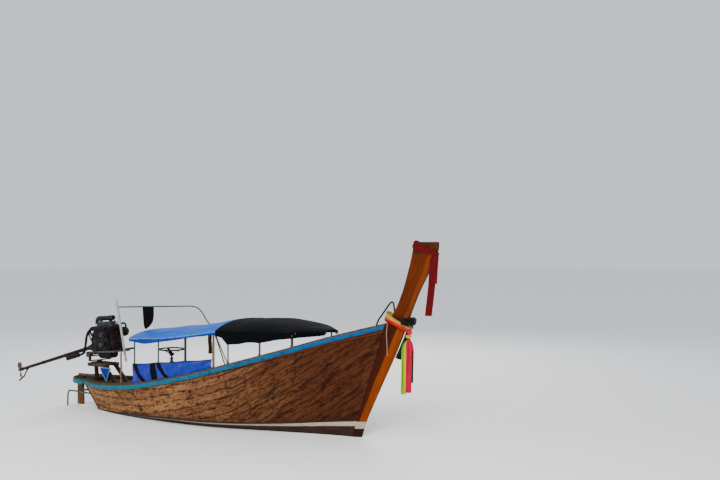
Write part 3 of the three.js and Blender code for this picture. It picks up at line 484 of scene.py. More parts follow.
def metal_material(name, base, metallic, rough, stain, amount, worn, bare="8d8a86"):
    """Painted or bare metal, stained in blotches and rubbed to bare metal at its corners."""
    net, vector = new_material(name)
    stained = net.mask(STAIN, vector, Scale=14.0, Amount=amount)
    rubbed = net.mask(WEAR, vector, Amount=worn)
    speckle = net.noise(vector, 160.0, 4.0, 0.7)
    tone = net.mix(light(base), light(stain), net.spread(speckle, 0.35, 0.75, 0.0, 0.35))
    tone = net.mix(tone, light(stain), net.times(stained, 0.85))
    tone = net.mix(tone, light(bare), rubbed)
    metallic = net.spread(stained, 0.0, 1.0, metallic, metallic * 0.35)
    rough = net.spread(stained, 0.0, 1.0, rough, min(rough + 0.3, 0.95))
    return net.closed(tone, rough, net.maths("ADD", speckle, stained), 0.25, 0.0012, Metallic=metallic)


# %% [markdown]
# The side planking is the boat's largest surface: oiled planks, golden aft and darker forward,
# with broken seams, short dark butts and knots. The seams run with the sheer and fan up into the
# stem at the bow. The pattern reads a map whose second axis is that plank direction.

# %% The planking's material
PLANK_WIDTH = 0.128


def plank_material():
    net, vector = new_material("oiled_planks", "planks", MATT)
    place = net.node("TexCoord").outputs["Object"]
    bend = net.noise(vector, 2.2, 3.0)
    wavy = net.node("VectorMath", {0: vector}, operation="ADD")
    ragged = net.noise(vector, 3.4, 4.0, 0.6)
    offset = net.node("CombineXYZ", {"X": net.spread(ragged, 0.3, 0.7, -0.09, 0.09),
                                     "Y": net.spread(bend, 0.3, 0.7, -0.024, 0.024)})
    net.feed(wavy.inputs[1], offset.outputs["Vector"])

    def boards(length, seam, soft, offset, squash, every):
        """Rows of boards as wide as a plank: outputs their tone and the mask of their seams."""
        sizes = {"Scale": 1.0, "Mortar Size": seam, "Mortar Smooth": soft, "Bias": 0.0, "Brick Width": length,
                 "Row Height": PLANK_WIDTH, "Color1": (0, 0, 0, 1), "Color2": (1, 1, 1, 1)}
        return net.node("TexBrick", {"Vector": wavy.outputs["Vector"], **sizes}, offset=offset,
                        offset_frequency=2, squash=squash, squash_frequency=every)

    bricks = boards(0.62, 0.0035, 0.6, 0.37, 0.75, 3)
    butts = boards(0.31, 0.010, 1.0, 0.42, 0.8, 2)
    wood = net.group(GRAIN, {"Vector": vector, "Light": light("dcb08a"), "Dark": light("9c6446")})
    split = net.axes(place)
    forward = net.spread(split["X"], -2.2, 2.6)
    tone = net.tint(wood["Color"], "4e240e", net.spread(forward, 0.30, 0.88, 0.0, 0.85))
    tone = net.tint(tone, "e0a76c", net.spread(forward, 0.0, 0.45, 0.38, 0.0))
    per_plank = net.spread(bricks.outputs["Color"], 0.0, 1.0, 0.0, 0.45)
    tone = net.tint(tone, "5c2808", per_plank)
    blotch = net.noise(net.stretched(vector, (3.6, 9.0, 1.0)), 2.4, 7.0, 0.72, 0.4)
    tone = net.tint(tone, "4a220f", net.spread(blotch, 0.50, 0.64, 0.0, 0.85))
    streaks = net.noise(net.stretched(vector, (2.2, 26.0, 1.0)), 2.6, 7.0, 0.7, 0.5)
    tone = net.tint(tone, "3d1c0c", net.spread(streaks, 0.56, 0.74, 0.0, 0.75))
    broken = net.spread(net.noise(vector, 7.0, 5.0, 0.7), 0.42, 0.58)
    seam = net.times(bricks.outputs["Fac"], net.spread(broken, 0.0, 1.0, 0.35, 1.0))
    tone = net.tint(tone, "25110a", net.times(seam, 0.85))
    marks = net.times(butts.outputs["Fac"], net.times(broken, net.spread(
        net.noise(vector, 13.0, 4.0, 0.6), 0.44, 0.52)))
    sooty = boards(0.44, 0.026, 1.0, 0.42, 0.8, 2)
    patchy = net.spread(net.noise(net.stretched(vector, (1.0, 2.2, 1.0)), 6.5, 6.0, 0.75, 0.9), 0.47, 0.53)
    dashes = net.noise(net.stretched(vector, (4.2, 11.0, 1.0)), 2.6, 5.0, 0.65, 1.2)
    scorched = net.noise(net.stretched(vector, (1.1, 2.4, 1.0)), 2.4, 7.0, 0.72, 1.0)
    scorched = net.times(net.spread(scorched, 0.50, 0.60), net.spread(forward, 0.35, 0.75, 0.1, 0.8))
    tone = net.tint(tone, "260a00", scorched)
    soot = net.times(net.spread(sooty.outputs["Fac"], 0.0, 0.6), patchy)
    soot = net.maths("MAXIMUM", soot, net.spread(dashes, 0.57, 0.63))
    tone = net.tint(tone, "240c05", net.times(soot, net.spread(forward, 0.45, 0.9, 0.88, 0.6)))
    slanted = net.lying(place, y=24)
    drips = net.noise(net.stretched(slanted, (1.1, 1.0, 13.0)), 2.2, 6.0, 0.7, 0.5)
    bow_low = net.times(net.spread(split["X"], 0.9, 2.2), net.spread(split["Z"], 0.95, 0.35, 0.15, 1.0))
    tone = net.tint(tone, "241008", net.times(net.spread(drips, 0.52, 0.66, 0.0, 0.9), bow_low))
    knots = net.node("TexVoronoi", {"Vector": net.stretched(vector, (1.0, 1.9, 1.0)), "Scale": 5.2,
                                    "Randomness": 1.0})
    knot = net.times(net.spread(knots.outputs["Distance"], 0.10, 0.03),
                     net.spread(net.noise(vector, 3.1, 2.0), 0.50, 0.56))
    dark = net.maths("MAXIMUM", marks, knot, clamp=True)
    tone = net.tint(tone, "2b130a", net.times(dark, 0.9))
    girth = net.carried("girth")
    top = net.spread(girth, 0.090, 0.080)
    tone = net.mix(tone, net.tint(tone, "8a4416", 0.5), net.times(top, 0.9))
    # Painted shadow: a dark line just under the rub rail. The second band is the real seam below the sheer strake.
    seam_below = net.times(net.spread(girth, 0.083, 0.087), net.spread(girth, 0.097, 0.092))
    line = net.maths("MAXIMUM", net.spread(girth, 0.056, 0.048), seam_below)
    tone = net.tint(tone, "1e0e07", net.times(line, 0.8))
    low = net.spread(girth, 0.90, 1.0)
    wet = net.noise(net.stretched(vector, (9.0, 1.4, 1.0)), 1.6, 5.0)
    tone = net.tint(tone, "3a2114", net.times(low, net.spread(wet, 0.35, 0.7, 0.1, 0.7)))
    rough = net.spread(streaks, 0.3, 0.7, 0.42, 0.62)
    height = net.maths("SUBTRACT", wood["Height"], net.times(net.maths("MAXIMUM", seam, dark), 1.6))
    return net.closed(tone, rough, height, 0.5, 0.003)


OILED_PLANKS = plank_material()


# %% [markdown]
# The hull's lines are the same short table that the solids were made from: the sheer, the chine
# and the keel at nine sections, joined by Hermite curves. Here they are sampled far more finely,
# so that the sides are fair curves.

# %% The hull's lines
SECTIONS = [  # sheer x, half breadth, z; chine x, half breadth, z; keel x, z
    (-2980, 330, 505, -2620, 300, 20, -2508, -130), (-2400, 520, 500, -2080, 460, 40, -1990, -165),
    (-1600, 680, 570, -1400, 610, 80, -1350, -185), (-800, 770, 715, -700, 690, 110, -690, -195),
    (0, 800, 895, 0, 680, 120, 0, -200), (800, 780, 1110, 680, 570, 140, 640, -200),
    (1600, 650, 1335, 1400, 380, 180, 1310, -200), (2300, 420, 1545, 2020, 190, 230, 1890, -200),
    (3040, 60, 1745, 2543, 60, 270, 2385, -200),
]
SIDES = ((-1, "starboard"), (1, "port"))
PLANK = 0.030
HAIR = 0.0003  # Keeps two faces apart that would lie in each other
SIDE_ROUND, BOTTOM_ROUND = 0.026, 0.016
KEEL_SIDE = 0.050
TRANSOM_RAKE, STEM_RAKE = 360 / 485, 497 / 1475


def hermite(a, b, slope_a, slope_b, t):
    """A smooth curve from a to b that leaves and arrives with the given slopes."""
    return ((2 * t ** 3 - 3 * t ** 2 + 1) * a + (t ** 3 - 2 * t ** 2 + t) * slope_a
            + (3 * t ** 2 - 2 * t ** 3) * b + (t ** 3 - t ** 2) * slope_b)


def column(index, along):
    """One column of the table at a share of the length, 0 at the stern and 1 at the stem."""
    spot = along * (len(SECTIONS) - 1)
    i = min(int(spot), len(SECTIONS) - 2)
    t = spot - i
    last = len(SECTIONS) - 1
    before, a, b, after = (SECTIONS[min(max(n, 0), last)][index] / 1000 for n in (i - 1, i, i + 1, i + 2))
    slope_a = (b - before) / 2 if i else b - a
    slope_b = (after - a) / 2 if i < last - 1 else b - a
    return hermite(a, b, slope_a, slope_b, t)


def mid(a, b, t):
    return a + (b - a) * t


def table_at(table, x):
    """The row of a table at x, on straight lines between its rows."""
    for a, b in zip(table, table[1:]):
        if x <= b[0] + 1e-9:
            t = (x - a[0]) / (b[0] - a[0])
            return [mid(p, q, t) for p, q in zip(a, b)]
    return list(table[-1])


def side_point(along, down, inset=0.0):
    """A point of the port side, down from 0 at the sheer to 1 at the chine."""
    swell = SIDE_ROUND * sin(pi * along) * sin(pi * down)
    return vec(mid(column(0, along), column(3, along), down),
                   mid(column(1, along), column(4, along), down) + swell - inset,
                   mid(column(2, along), column(5, along), down))


def bottom_point(along, inward, inset=0.0):
    """A point of the port bottom, inward from 0 at the chine to 1 at the keel."""
    swell = BOTTOM_ROUND * sin(pi * along) * sin(pi * inward)
    lift = inset - swell
    chine_y = column(4, along)
    return vec(mid(column(3, along), column(6, along), inward) + lift * mid(-TRANSOM_RAKE, STEM_RAKE, along),
                   min(mid(chine_y, KEEL_SIDE, inward), chine_y),
                   mid(column(5, along), column(7, along), inward) + lift)


SHEER = [side_point(along, 0) for along in shares(480)]


def sheer_at(x):
    """The sheer line's point at a place along the boat, on the port side."""
    for a, b in zip(SHEER, SHEER[1:]):
        if b.x >= x:
            return a.lerp(b, (x - a.x) / (b.x - a.x))
    return SHEER[-1]


print("sheer amidships", tuple(round(v, 3) for v in sheer_at(0)))

# %% [markdown]
# Each side is one closed shell with an outer and an inner face. The map for the planks counts
# metres along the boat and metres down from the sheer, and bends upward toward the bow. The
# girth attribute says how far down the side a point lies, from 0 at the sheer to 1 at the chine.

# %% The side planking
SIDE_STATIONS, SIDE_LEVELS = 120, 18


def side_planking(side, name):
    rows, seen = [], []
    levels = shares(SIDE_LEVELS)
    for along in shares(SIDE_STATIONS):
        outer, inner = [], []
        for down in levels:
            p = side_point(along, down)
            q = side_point(along, down, min(PLANK, p.y - 0.020))
            outer.append(vec(p.x, p.y * side, p.z))
            inner.append(vec(q.x, q.y * side, q.z))
        rows.append(outer + inner[::-1])
        tall = (outer[0] - outer[-1]).length
        bend = 0.24 * max(outer[0].x - 0.7, 0) ** 1.35
        top = outer[0].x
        reach = [p.x if along else top for p in outer] + [top] * len(levels)
        seen += [(x, t * tall + bend, t) for x, t in zip(reach, levels + levels[::-1])]
    piece = mesh_object(name, row_grid(rows, around=True), merge=0)
    write_map(piece, "planks", [(u + 10 * (side > 0), v) for u, v, _ in seen])
    write_values(piece, "girth", [t for _, _, t in seen])
    return piece


for side, word in SIDES:
    piece = side_planking(side, f"planked_side_{word}")
    finished(piece, [OILED_PLANKS], "hull", "hull_wood", (f"side_planking_{word}",))
    print(piece.name, TRIANGLES[piece.name])

# %% [markdown]
# The bottom is painted dull dark red. A white boot stripe follows the chine and widens toward
# the bow, as a maker paints it with a line stretched by eye. The stripe is a mask in the paint
# that reads how far down from the chine the point lies, carried on the mesh as an attribute.

# %% The bottom, the keel and the boot stripe
def bottom_material():
    net, vector = new_material("bottom_paint_and_boot")
    down = net.carried("from_chine")
    place = net.axes(vector)
    wide = net.spread(place["X"], -1.4, 2.55, 0.006, 0.075)
    ragged = net.spread(net.noise(vector, 9.0, 4.0), 0.3, 0.7, -0.004, 0.004)
    stripe = net.spread(net.maths("SUBTRACT", down, net.maths("ADD", wide, ragged)), 0.002, -0.002)
    stripe = net.times(stripe, net.spread(place["X"], -2.1, -1.5))
    chalky = net.noise(net.stretched(vector, (1.0, 1.0, 6.0)), 3.0, 7.0, 0.65)
    paint = net.mix(light("4a2a20"), light("2b1813"), net.spread(chalky, 0.35, 0.65))
    slime = net.spread(place["Z"], 0.07, 0.0)
    paint = net.tint(paint, "231a12", net.times(slime, 0.8))
    white = net.mix(light("e9dfcd"), light("b79f80"), net.spread(net.noise(vector, 12.0, 6.0, 0.7), 0.5, 0.8))
    paint = net.mix(paint, white, stripe)
    return net.closed(paint, net.spread(chalky, 0.3, 0.7, 0.5, 0.75), chalky, 0.3, 0.002)


BOTTOM_PAINT = bottom_material()


def bottom_shell():
    rows, depth = [], []
    for along in shares(SIDE_STATIONS):
        ring = []
        for inset in (-PLANK, 0.0):
            half = [bottom_point(along, t, inset) - vec(0, 0, HAIR) for t in shares(10)]
            star = [vec(p.x, -p.y, p.z) for p in half]
            row = star + half[::-1]
            ring += row if inset < 0 else row[::-1]
        depth += [(p - ring[0 if p.y < 0 else 21]).length if i < 22 else 1.0 for i, p in enumerate(ring)]
        rows.append(ring)
    piece = mesh_object("painted_bottom", row_grid(rows, around=True), merge=0)
    write_values(piece, "from_chine", depth)
    return piece


finished(bottom_shell(), [BOTTOM_PAINT], "hull", "bottom_paint", ("bottom_planking",))
KEEL_PAINT = timber_material("keel_paint", "4a2b20", "2a1712", 0.7, 0.5, 0.2)
softened("keel", KEEL_PAINT, "bottom_paint", 0.006)


# %% [markdown]
# The rub rail is a half-round timber painted turquoise aft and blue at the bow. It follows the
# sheer and takes the knocks, so its paint is chipped to the wood. The cap over it is a flat
# weathered board. Both are one outline carried along the sheer.

# %% Rails along the sheer
LEAST_HALF = 0.012


def sheer_strip(name, side, outline):
    """outline lists (inward, up) in metres, round the strip's section."""
    rows = []
    for along in shares(SIDE_STATIONS):
        tall = column(2, along) - column(5, along)
        row = []
        for inward, up in outline:
            p = side_point(along, max(-up / tall, 0.0))
            row.append(vec(p.x, max(p.y - inward, LEAST_HALF) * side, p.z + max(up, 0.0)))
        rows.append(row)
    return mesh_object(name, row_grid(rows, around=True), merge=0)


def rail_material():
    net, vector = new_material("rail_paint", shine=MATT)
    place = net.axes(vector)
    forward = net.spread(place["X"], -2.9, 2.6)
    paint = net.mix(light("1b8f9c"), light("0c70b4"), forward)
    fade = net.noise(net.stretched(vector, (1.2, 5.0, 8.0)), 3.0, 6.0, 0.65)
    paint = net.tint(paint, "58a8bc", net.spread(fade, 0.50, 0.78, 0.0, 0.45))
    scuffs = net.noise(net.stretched(vector, (3.5, 9.0, 26.0)), 3.0, 7.0, 0.7)
    chip = net.spread(scuffs, 0.60, 0.64)
    rubbed = net.mask(WEAR, vector, Amount=0.7)
    chip = net.maths("MAXIMUM", chip, rubbed, clamp=True)
    paint = net.tint(paint, "6b5238", net.times(chip, 0.8))
    dirt = net.mask(STAIN, vector, Scale=6.0, Amount=0.35)
    paint = net.tint(paint, "2a3a3a", net.times(dirt, 0.55))
    rough = net.spread(chip, 0.0, 1.0, 0.42, 0.8)
    return net.closed(paint, rough, net.maths("SUBTRACT", net.times(fade, 0.5), chip), 0.4, 0.0015)


RAIL_PAINT = rail_material()
CAP_WOOD = timber_material("cap_wood", "6b5a49", "33281f", 0.75, 0.5, 0.7)
RAIL_OUTLINE = [(0.0008, -0.001), (-0.026, -0.001), (-0.036, -0.004), (-0.041, -0.012), (-0.042, -0.022),
                (-0.042, -0.052), (-0.041, -0.061), (-0.036, -0.069), (-0.026, -0.072), (0.0008, -0.072)]
CAP_OUTLINE = [(-0.008, 0.0008), (-0.008, 0.019), (-0.004, 0.024), (0.002, 0.026), (0.088, 0.026),
               (0.094, 0.023), (0.096, 0.018), (0.096, 0.0008)]
for side, word in SIDES:
    piece = sheer_strip(f"painted_rail_{word}", side, RAIL_OUTLINE)
    finished(piece, [RAIL_PAINT], "hull", "rail_paint", (f"rub_rail_{word}",), sharp=50)
    piece = sheer_strip(f"cap_board_{word}", side, CAP_OUTLINE)
    finished(piece, [CAP_WOOD], "hull", "dark_wood", (f"gunwale_cap_{word}",), sharp=50)
print("rails", [n for n in TRIANGLES if "rail" in n or "cap" in n])

# %% [markdown]
# The stem and the tall prow are one carved timber. Its table of levels gives the back, the
# bevel's edge and the cutwater. Between levels the curve is smooth. The bevelled face beside the
# cutwater is oiled bright orange, the band behind it is darker, and the top is bare end grain.

# %% Stem and prow
STEM = [  # z, x of the back, bevel edge and cutwater, half widths there
    (-322, 2344, 2400, 2470, 42, 40, 20), (-200, 2385, 2450, 2535, 60, 52, 14),
    (270, 2543, 2590, 2690, 60, 58, 12), (860, 2742, 2845, 2975, 60, 58, 12),
    (1340, 2904, 3070, 3210, 60, 56, 12), (1620, 2998, 3190, 3325, 60, 52, 22),
    (1745, 3040, 3250, 3372, 60, 46, 34), (1790, 3075, 3270, 3390, 45, 45, 38),
    (1980, 3205, 3330, 3462, 45, 45, 40), (2280, 3330, 3450, 3592, 45, 45, 40),
    (2510, 3398, 3550, 3720, 45, 45, 40), (2700, 3452, 3620, 3808, 45, 45, 40),
    (2890, 3492, 3660, 3902, 45, 45, 40), (2995, 3510, 3680, 3890, 45, 45, 40),
]


def stem_material():
    net, vector = new_material("oiled_stem", shine=MATT)
    place = net.axes(vector)
    across = net.carried("across")
    lean = net.lying(vector, y=68)
    oiled = net.group(GRAIN, {"Vector": lean, "Light": light("b86424"), "Dark": light("7a3810")})
    brown = net.group(GRAIN, {"Vector": lean, "Light": light("582608"), "Dark": light("2c1204")})
    high = net.spread(place["Z"], 1.70, 1.95)
    edge = net.maths("ADD", 0.50, net.times(high, 0.24))
    wander = net.spread(net.noise(vector, 4.0, 3.0), 0.3, 0.7, -0.02, 0.02)
    front = net.spread(net.maths("SUBTRACT", net.maths("ADD", across, wander), edge), -0.015, 0.03)
    warm = net.mix(brown["Color"], oiled["Color"], net.times(high, 0.28))
    tone = net.mix(warm, oiled["Color"], net.times(front, net.spread(high, 0.0, 1.0, 0.92, 0.5)))
    # Painted shade: the cutwater's narrow front face is darkened, most of all below the sheer.
    cutwater_shade = net.spread(across, 0.975, 0.99)
    tone = net.tint(tone, "19120d", net.times(cutwater_shade, net.spread(place["Z"], 1.75, 1.65, 0.25, 1.0)))
    top = net.spread(place["Z"], 2.972, 2.99)
    checks = net.noise(net.stretched(vector, (34.0, 9.0, 2.0)), 1.4, 6.0, 0.7)
    end_grain = net.mix(light("8a7b6a"), light("3d332a"), net.spread(checks, 0.35, 0.62))
    tone = net.mix(tone, end_grain, top)
    mottled = net.spread(net.noise(vector, 22.0, 5.0, 0.7), 0.35, 0.65, 0.55, 1.0)
    dry = net.times(net.spread(place["Z"], 2.78, 2.87), mottled)
    tone = net.tint(tone, "2e140e", net.times(dry, 0.9))
    wet = net.spread(place["Z"], 0.16, 0.02)
    boot = net.spread(place["Z"], 0.245, 0.235)
    white = net.mix(light("e6dccb"), light("b59c7c"), net.spread(net.noise(vector, 12.0, 6.0, 0.7), 0.5, 0.8))
    tone = net.mix(tone, white, boot)
    tone = net.tint(tone, "3a2018", net.spread(place["Z"], 0.135, 0.128))
    tone = net.tint(tone, "1d130d", net.times(wet, 0.5))
    rubbed = net.mask(WEAR, vector, Amount=0.35)
    tone = net.tint(tone, "a07a52", rubbed)
    rough = net.spread(oiled["Streak"], 0.0, 1.0, 0.66, 0.5)
    return net.closed(tone, rough, net.maths("ADD", oiled["Height"], net.times(checks, top)), 0.4, 0.002)


def stem_and_prow():
    heights = []
    for a, b in zip(STEM, STEM[1:]):
        count = max(2, round((b[0] - a[0]) / 45))
        heights += [mid(a[0], b[0], n / count) / 1000 for n in range(count)]
    heights.append(STEM[-1][0] / 1000)
    smooth = {z: [v / 1000 for v in table_at(STEM, z * 1000)] for z in heights}
    for _ in range(3):
        fair = dict(smooth)
        for before, z, after in zip(heights, heights[1:], heights[2:]):
            if abs(z - 1.745) > 0.06 and abs(z - 1.79) > 0.03:
                fair[z] = [(p + 2 * q + r) / 4 for p, q, r in zip(smooth[before], smooth[z], smooth[after])]
                fair[z][0] = z
        smooth = fair
    rows, across = [], []
    soft = 0.007
    for z in heights:
        _, back, edge, front, half_back, half_edge, half_front = smooth[z]
        left = [(back + HAIR + soft, half_back, 0.03),
                (mid(back, edge, 0.35), mid(half_back, half_edge, 0.35), 0.18),
                (mid(back, edge, 0.7), mid(half_back, half_edge, 0.7), 0.35), (edge - soft, half_edge, 0.48),
                (edge + soft, half_edge - 0.0012, 0.52),
                (mid(edge, front, 0.5), mid(half_edge, half_front, 0.5), 0.74),
                (front - soft, half_front, 0.96), (front, half_front - min(soft, half_front * 0.6), 1.0)]
        right = [(x, -y, t) for x, y, t in left[::-1]]
        rear = [(back + HAIR, -(half_back - soft), 0.0), (back + HAIR, half_back - soft, 0.0)]
        ring = left + right + rear
        rows.append([vec(x, y, z) for x, y, _ in ring])
        across += [t for _, _, t in ring]
    piece = mesh_object("carved_stem_and_prow", row_grid(rows, around=True), merge=0)
    write_values(piece, "across", across)
    return piece


finished(stem_and_prow(), [stem_material()], "hull", "stem_wood", ("stem_and_prow",), bevel=0.003, sharp=40)
print("stem and prow", TRIANGLES["carved_stem_and_prow"])

# %% [markdown]
# Nails, floor boards and bolts repeat by the dozen. One kind of node tree makes them all: it takes
# bare points, each with the way it faces and its own stretch, puts a copy of a small template on
# each, turns it that way, scales it a little at random, and makes the copies real.

# %% The repeating tree
TEMPLATES = {"UVSphere": {"Segments": 10, "Rings": 6, "Radius": 0.5}, "Cube": {},
             "Cylinder": {"Vertices": 6, "Radius": 0.5, "Depth": 1.0}}


def repeat_tree(name, solid):
    """Copies of a solid on points, each turned to face its way and scaled by its own stretch."""
    tree = bpy.data.node_groups.new(name, "GeometryNodeTree")
    for key, kind in (("Geometry", "Geometry"), ("Length", "Float"), ("Width", "Float"), ("Height", "Float"),
                      ("Jitter", "Float"), ("Seed", "Int"), ("Finish", "Material")):
        tree.interface.new_socket(key, in_out="INPUT", socket_type="NodeSocket" + kind)
    tree.interface.new_socket("Geometry", in_out="OUTPUT", socket_type="NodeSocketGeometry")
    given, out = tree.nodes.new("NodeGroupInput").outputs, tree.nodes.new("NodeGroupOutput").inputs
    net = Net(tree)
    template = net.node("GeometryNodeMesh" + solid, TEMPLATES[solid]).outputs["Mesh"]
    size = net.node("CombineXYZ", {"X": given["Length"], "Y": given["Width"], "Z": given["Height"]})
    shaped = net.node("GeometryNodeTransform", {"Geometry": template, "Scale": size.outputs["Vector"]})
    facing, stretch = (net.node("GeometryNodeInputNamedAttribute", {"Name": key}, data_type="FLOAT_VECTOR")
                       .outputs["Attribute"] for key in ("facing", "stretch"))
    turn = net.node("FunctionNodeAlignRotationToVector", {"Vector": facing}, axis="Z")
    low, high = (net.maths(kind, 1.0, given["Jitter"]) for kind in ("SUBTRACT", "ADD"))
    chance = net.node("FunctionNodeRandomValue", {2: low, 3: high, "Seed": given["Seed"]}, data_type="FLOAT")
    scale = net.node("VectorMath", {0: stretch, "Scale": chance.outputs[1]}, operation="SCALE")
    copies = net.node("GeometryNodeInstanceOnPoints", {
        "Points": given["Geometry"], "Instance": shaped.outputs["Geometry"],
        "Rotation": turn.outputs["Rotation"], "Scale": scale.outputs["Vector"]})
    real = net.node("GeometryNodeRealizeInstances", {"Geometry": copies.outputs["Instances"]})
    coat = net.node("GeometryNodeSetMaterial", {"Geometry": real.outputs["Geometry"], "Material": given["Finish"]})
    net.feed(out["Geometry"], coat.outputs["Geometry"])
    return tree


HEADS, BOARDS = repeat_tree("round_heads", "UVSphere"), repeat_tree("square_pieces", "Cube")
HEXES = repeat_tree("hexagon_heads", "Cylinder")


def repeated(name, spots, tree, size, material, body, slot, jitter=0.0, seed=7, **options):
    """spots lists (point, the way it faces, its stretch). size is the template's own."""
    mesh = bpy.data.meshes.new(name)
    mesh.from_pydata([tuple(p) for p, _, _ in spots], [], [])
    for key, index in (("facing", 1), ("stretch", 2)):
        layer = mesh.attributes.new(key, "FLOAT_VECTOR", "POINT")
        for i, spot in enumerate(spots):
            layer.data[i].vector = tuple(spot[index])
    piece = linked(name, mesh)
    modifier = piece.modifiers.new("copies", "NODES")
    modifier.node_group = tree
    values = {"Length": size[0], "Width": size[1], "Height": size[2], "Jitter": jitter, "Seed": seed,
              "Finish": material}
    for item in tree.interface.items_tree:
        if item.in_out == "INPUT" and item.name in values:
            modifier[item.identifier] = values[item.name]
    bpy.context.view_layer.update()
    apply_modifiers(piece)
    return finished(piece, [material], body, slot, **options)


# %% [markdown]
# Inside, the ribs and the inwale are dark sawn timber, and the floor is loose boards laid across
# with gaps between them. Thwarts are paler, rubbed by people who sit on them.

# %% Timber inside the hull
RIB_WOOD = timber_material("rib_wood", "5b4330", "2b1d13", 0.78, 0.45, 0.6, "z")
DECK_WOOD = timber_material("deck_wood", "421e16", "200c08", 0.72, 0.5, 0.7, "y")
DECK_LONG = timber_material("deck_wood_long", "5c3c2a", "2e1c12", 0.72, 0.5, 0.7)
SEAT_WOOD = timber_material("seat_wood", "b59468", "7a5b3a", 0.6, 0.35, 0.5, "y")
PLAIN_WOOD = timber_material("transom_wood", "5e3420", "30160c", 0.6, 0.4, 0.4, "y")
BED_WOOD = timber_material("bed_wood", "43221a", "1c0e0a", 0.7, 0.6, 0.6, "z")
RUDDER_WOOD = timber_material("rudder_wood", "9a6a42", "4f3019", 0.65, 0.45, 0.5, "z")
POLE_WOOD = timber_material("pole_wood", "a48c80", "6a544a", 0.65, 0.35, 0.4)
BLACK_WOOD = timber_material("black_crosspiece", "100f0e", "060505", 0.6, 0.1, 0.1, "y")
NAIL_IRON = metal_material("nail_iron", "3a2a20", 0.5, 0.65, "2a1409", 0.6, 0.3)
for node, material, slot, bevel, segments in (
        ("ribs_starboard", RIB_WOOD, "dark_wood", 0.004, 2), ("ribs_port", RIB_WOOD, "dark_wood", 0.004, 2),
        ("transom", PLAIN_WOOD, "hull_wood", 0.006, 2), ("stern_deck", DECK_WOOD, "dark_wood", 0.003, 2),
        ("bow_deck", DECK_WOOD, "dark_wood", 0.003, 2), ("thwart_aft", SEAT_WOOD, "pale_wood", 0.006, 3),
        ("thwart_middle", SEAT_WOOD, "pale_wood", 0.006, 3), ("thwart_fore", SEAT_WOOD, "pale_wood", 0.006, 3),
        ("mooring_crosspiece", BLACK_WOOD, "black_wood", 0.012, 3),
        ("stern_shelf", DECK_LONG, "dark_wood", 0.004, 2)):
    softened(node, material, slot, bevel, segments)


def floor_spots():
    """Places for boards across the floor, each as long as the narrowest part of the solid near it."""
    low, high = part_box("floor_boards")
    spots, x = [], low.x + 0.072
    half_at = {}
    for v in frame["nodes"]["floor_boards"].data.vertices:
        key = round(v.co.x, 2)
        half_at[key] = max(half_at.get(key, 0), abs(v.co.y))
    known = sorted(half_at.items())
    while x < high.x - 0.06:
        near = [h for k, h in known if abs(k - x) < 0.22]
        half = min(near) if near else known[0][1]
        spots.append(((x, 0, (low.z + high.z) / 2), (0, 0, 1), (1, max(half - 0.012, 0.1), 1)))
        x += 0.150
    return spots, high.z - low.z


spots, thick = floor_spots()
repeated("loose_floor_boards", spots, BOARDS, (0.143, 2.0, thick - 0.001), DECK_WOOD, "hull", "dark_wood",
         replaces=("floor_boards",), bevel=0.003)
print("floor boards", len(spots))


# %% [markdown]
# Iron nails hold the planks to each rib, two beside each other, and hold the rub rail to the
# sheer. Seen from afar they are dark dots in rows, so each is only a low round head.

# %% Nails in the planking and the rail
ROUND = (1, 1, 1)


def nail_spots():
    """Rows of nails where the planks cross the ribs, and along the rub rail."""
    planks, rail = [], []
    for side in (-1, 1):
        for rib in range(2, 22):
            along = (rib + 0.5) / 24
            for m in range(7):
                p = side_point(along, 0.14 + 0.125 * m)
                ahead = side_point(along + 0.01, 0.14 + 0.125 * m)
                lean = vec(-(ahead.y - p.y) / (ahead.x - p.x), 1.0, -0.1).normalized()
                facing = (lean.x, side * lean.y, lean.z)
                planks += [((p.x + shift, p.y * side, p.z + shift), facing, ROUND) for shift in (-0.012, 0.014)]
        for n in range(3, 58):
            along = n / 60
            tall = column(2, along) - column(5, along)
            p = side_point(along, 0.036 / tall)
            rail.append(((p.x, (p.y + 0.0415) * side, p.z), (0, side, 0), ROUND))
    return planks, rail


planks, rail = nail_spots()
repeated("plank_nails", planks, HEADS, (0.014, 0.014, 0.004), NAIL_IRON, "hull", "steel", jitter=0.2)
repeated("rail_nails", rail, HEADS, (0.012, 0.012, 0.005), NAIL_IRON, "hull", "steel", jitter=0.2, seed=9)
print("nails", len(planks), len(rail))


# %% [markdown]
# The stern is round: a shelf carries the rail around behind the transom. The rail has the same
# outline as along the sides, bent around half an oval. Under the shelf hang the rudder's bracket
# and a bent step pipe, and a pale pole lies across behind the engine's bed.

# %% The round stern
STERN_ROUND, STERN_STEPS = 0.45, 72


def stern_ring(name, outline, top):
    """An outline of (outward, up) carried round half an oval behind the transom."""
    start = side_point(0, 0)
    rows = []
    for n in range(STERN_STEPS + 1):
        a = pi * n / STERN_STEPS
        rows.append([vec(start.x - (STERN_ROUND + out) * sin(a) - 0.0004,
                             -(start.y + out) * cos(a), top + up) for out, up in outline])
    return mesh_object(name, row_grid(rows, around=True), merge=0)


stern_top = side_point(0, 0).z
piece = stern_ring("painted_stern_rail", [(-inward, up) for inward, up in RAIL_OUTLINE], stern_top)
finished(piece, [RAIL_PAINT], "hull", "rail_paint", ("stern_rail",), sharp=50)
STERN_CAP = [(0.001, 0.0005), (0.001, 0.022), (0.005, 0.026), (0.030, 0.026), (0.034, 0.022), (0.034, 0.0005)]
piece = stern_ring("stern_cap_board", STERN_CAP, stern_top)
finished(piece, [CAP_WOOD], "hull", "dark_wood", (), sharp=50)

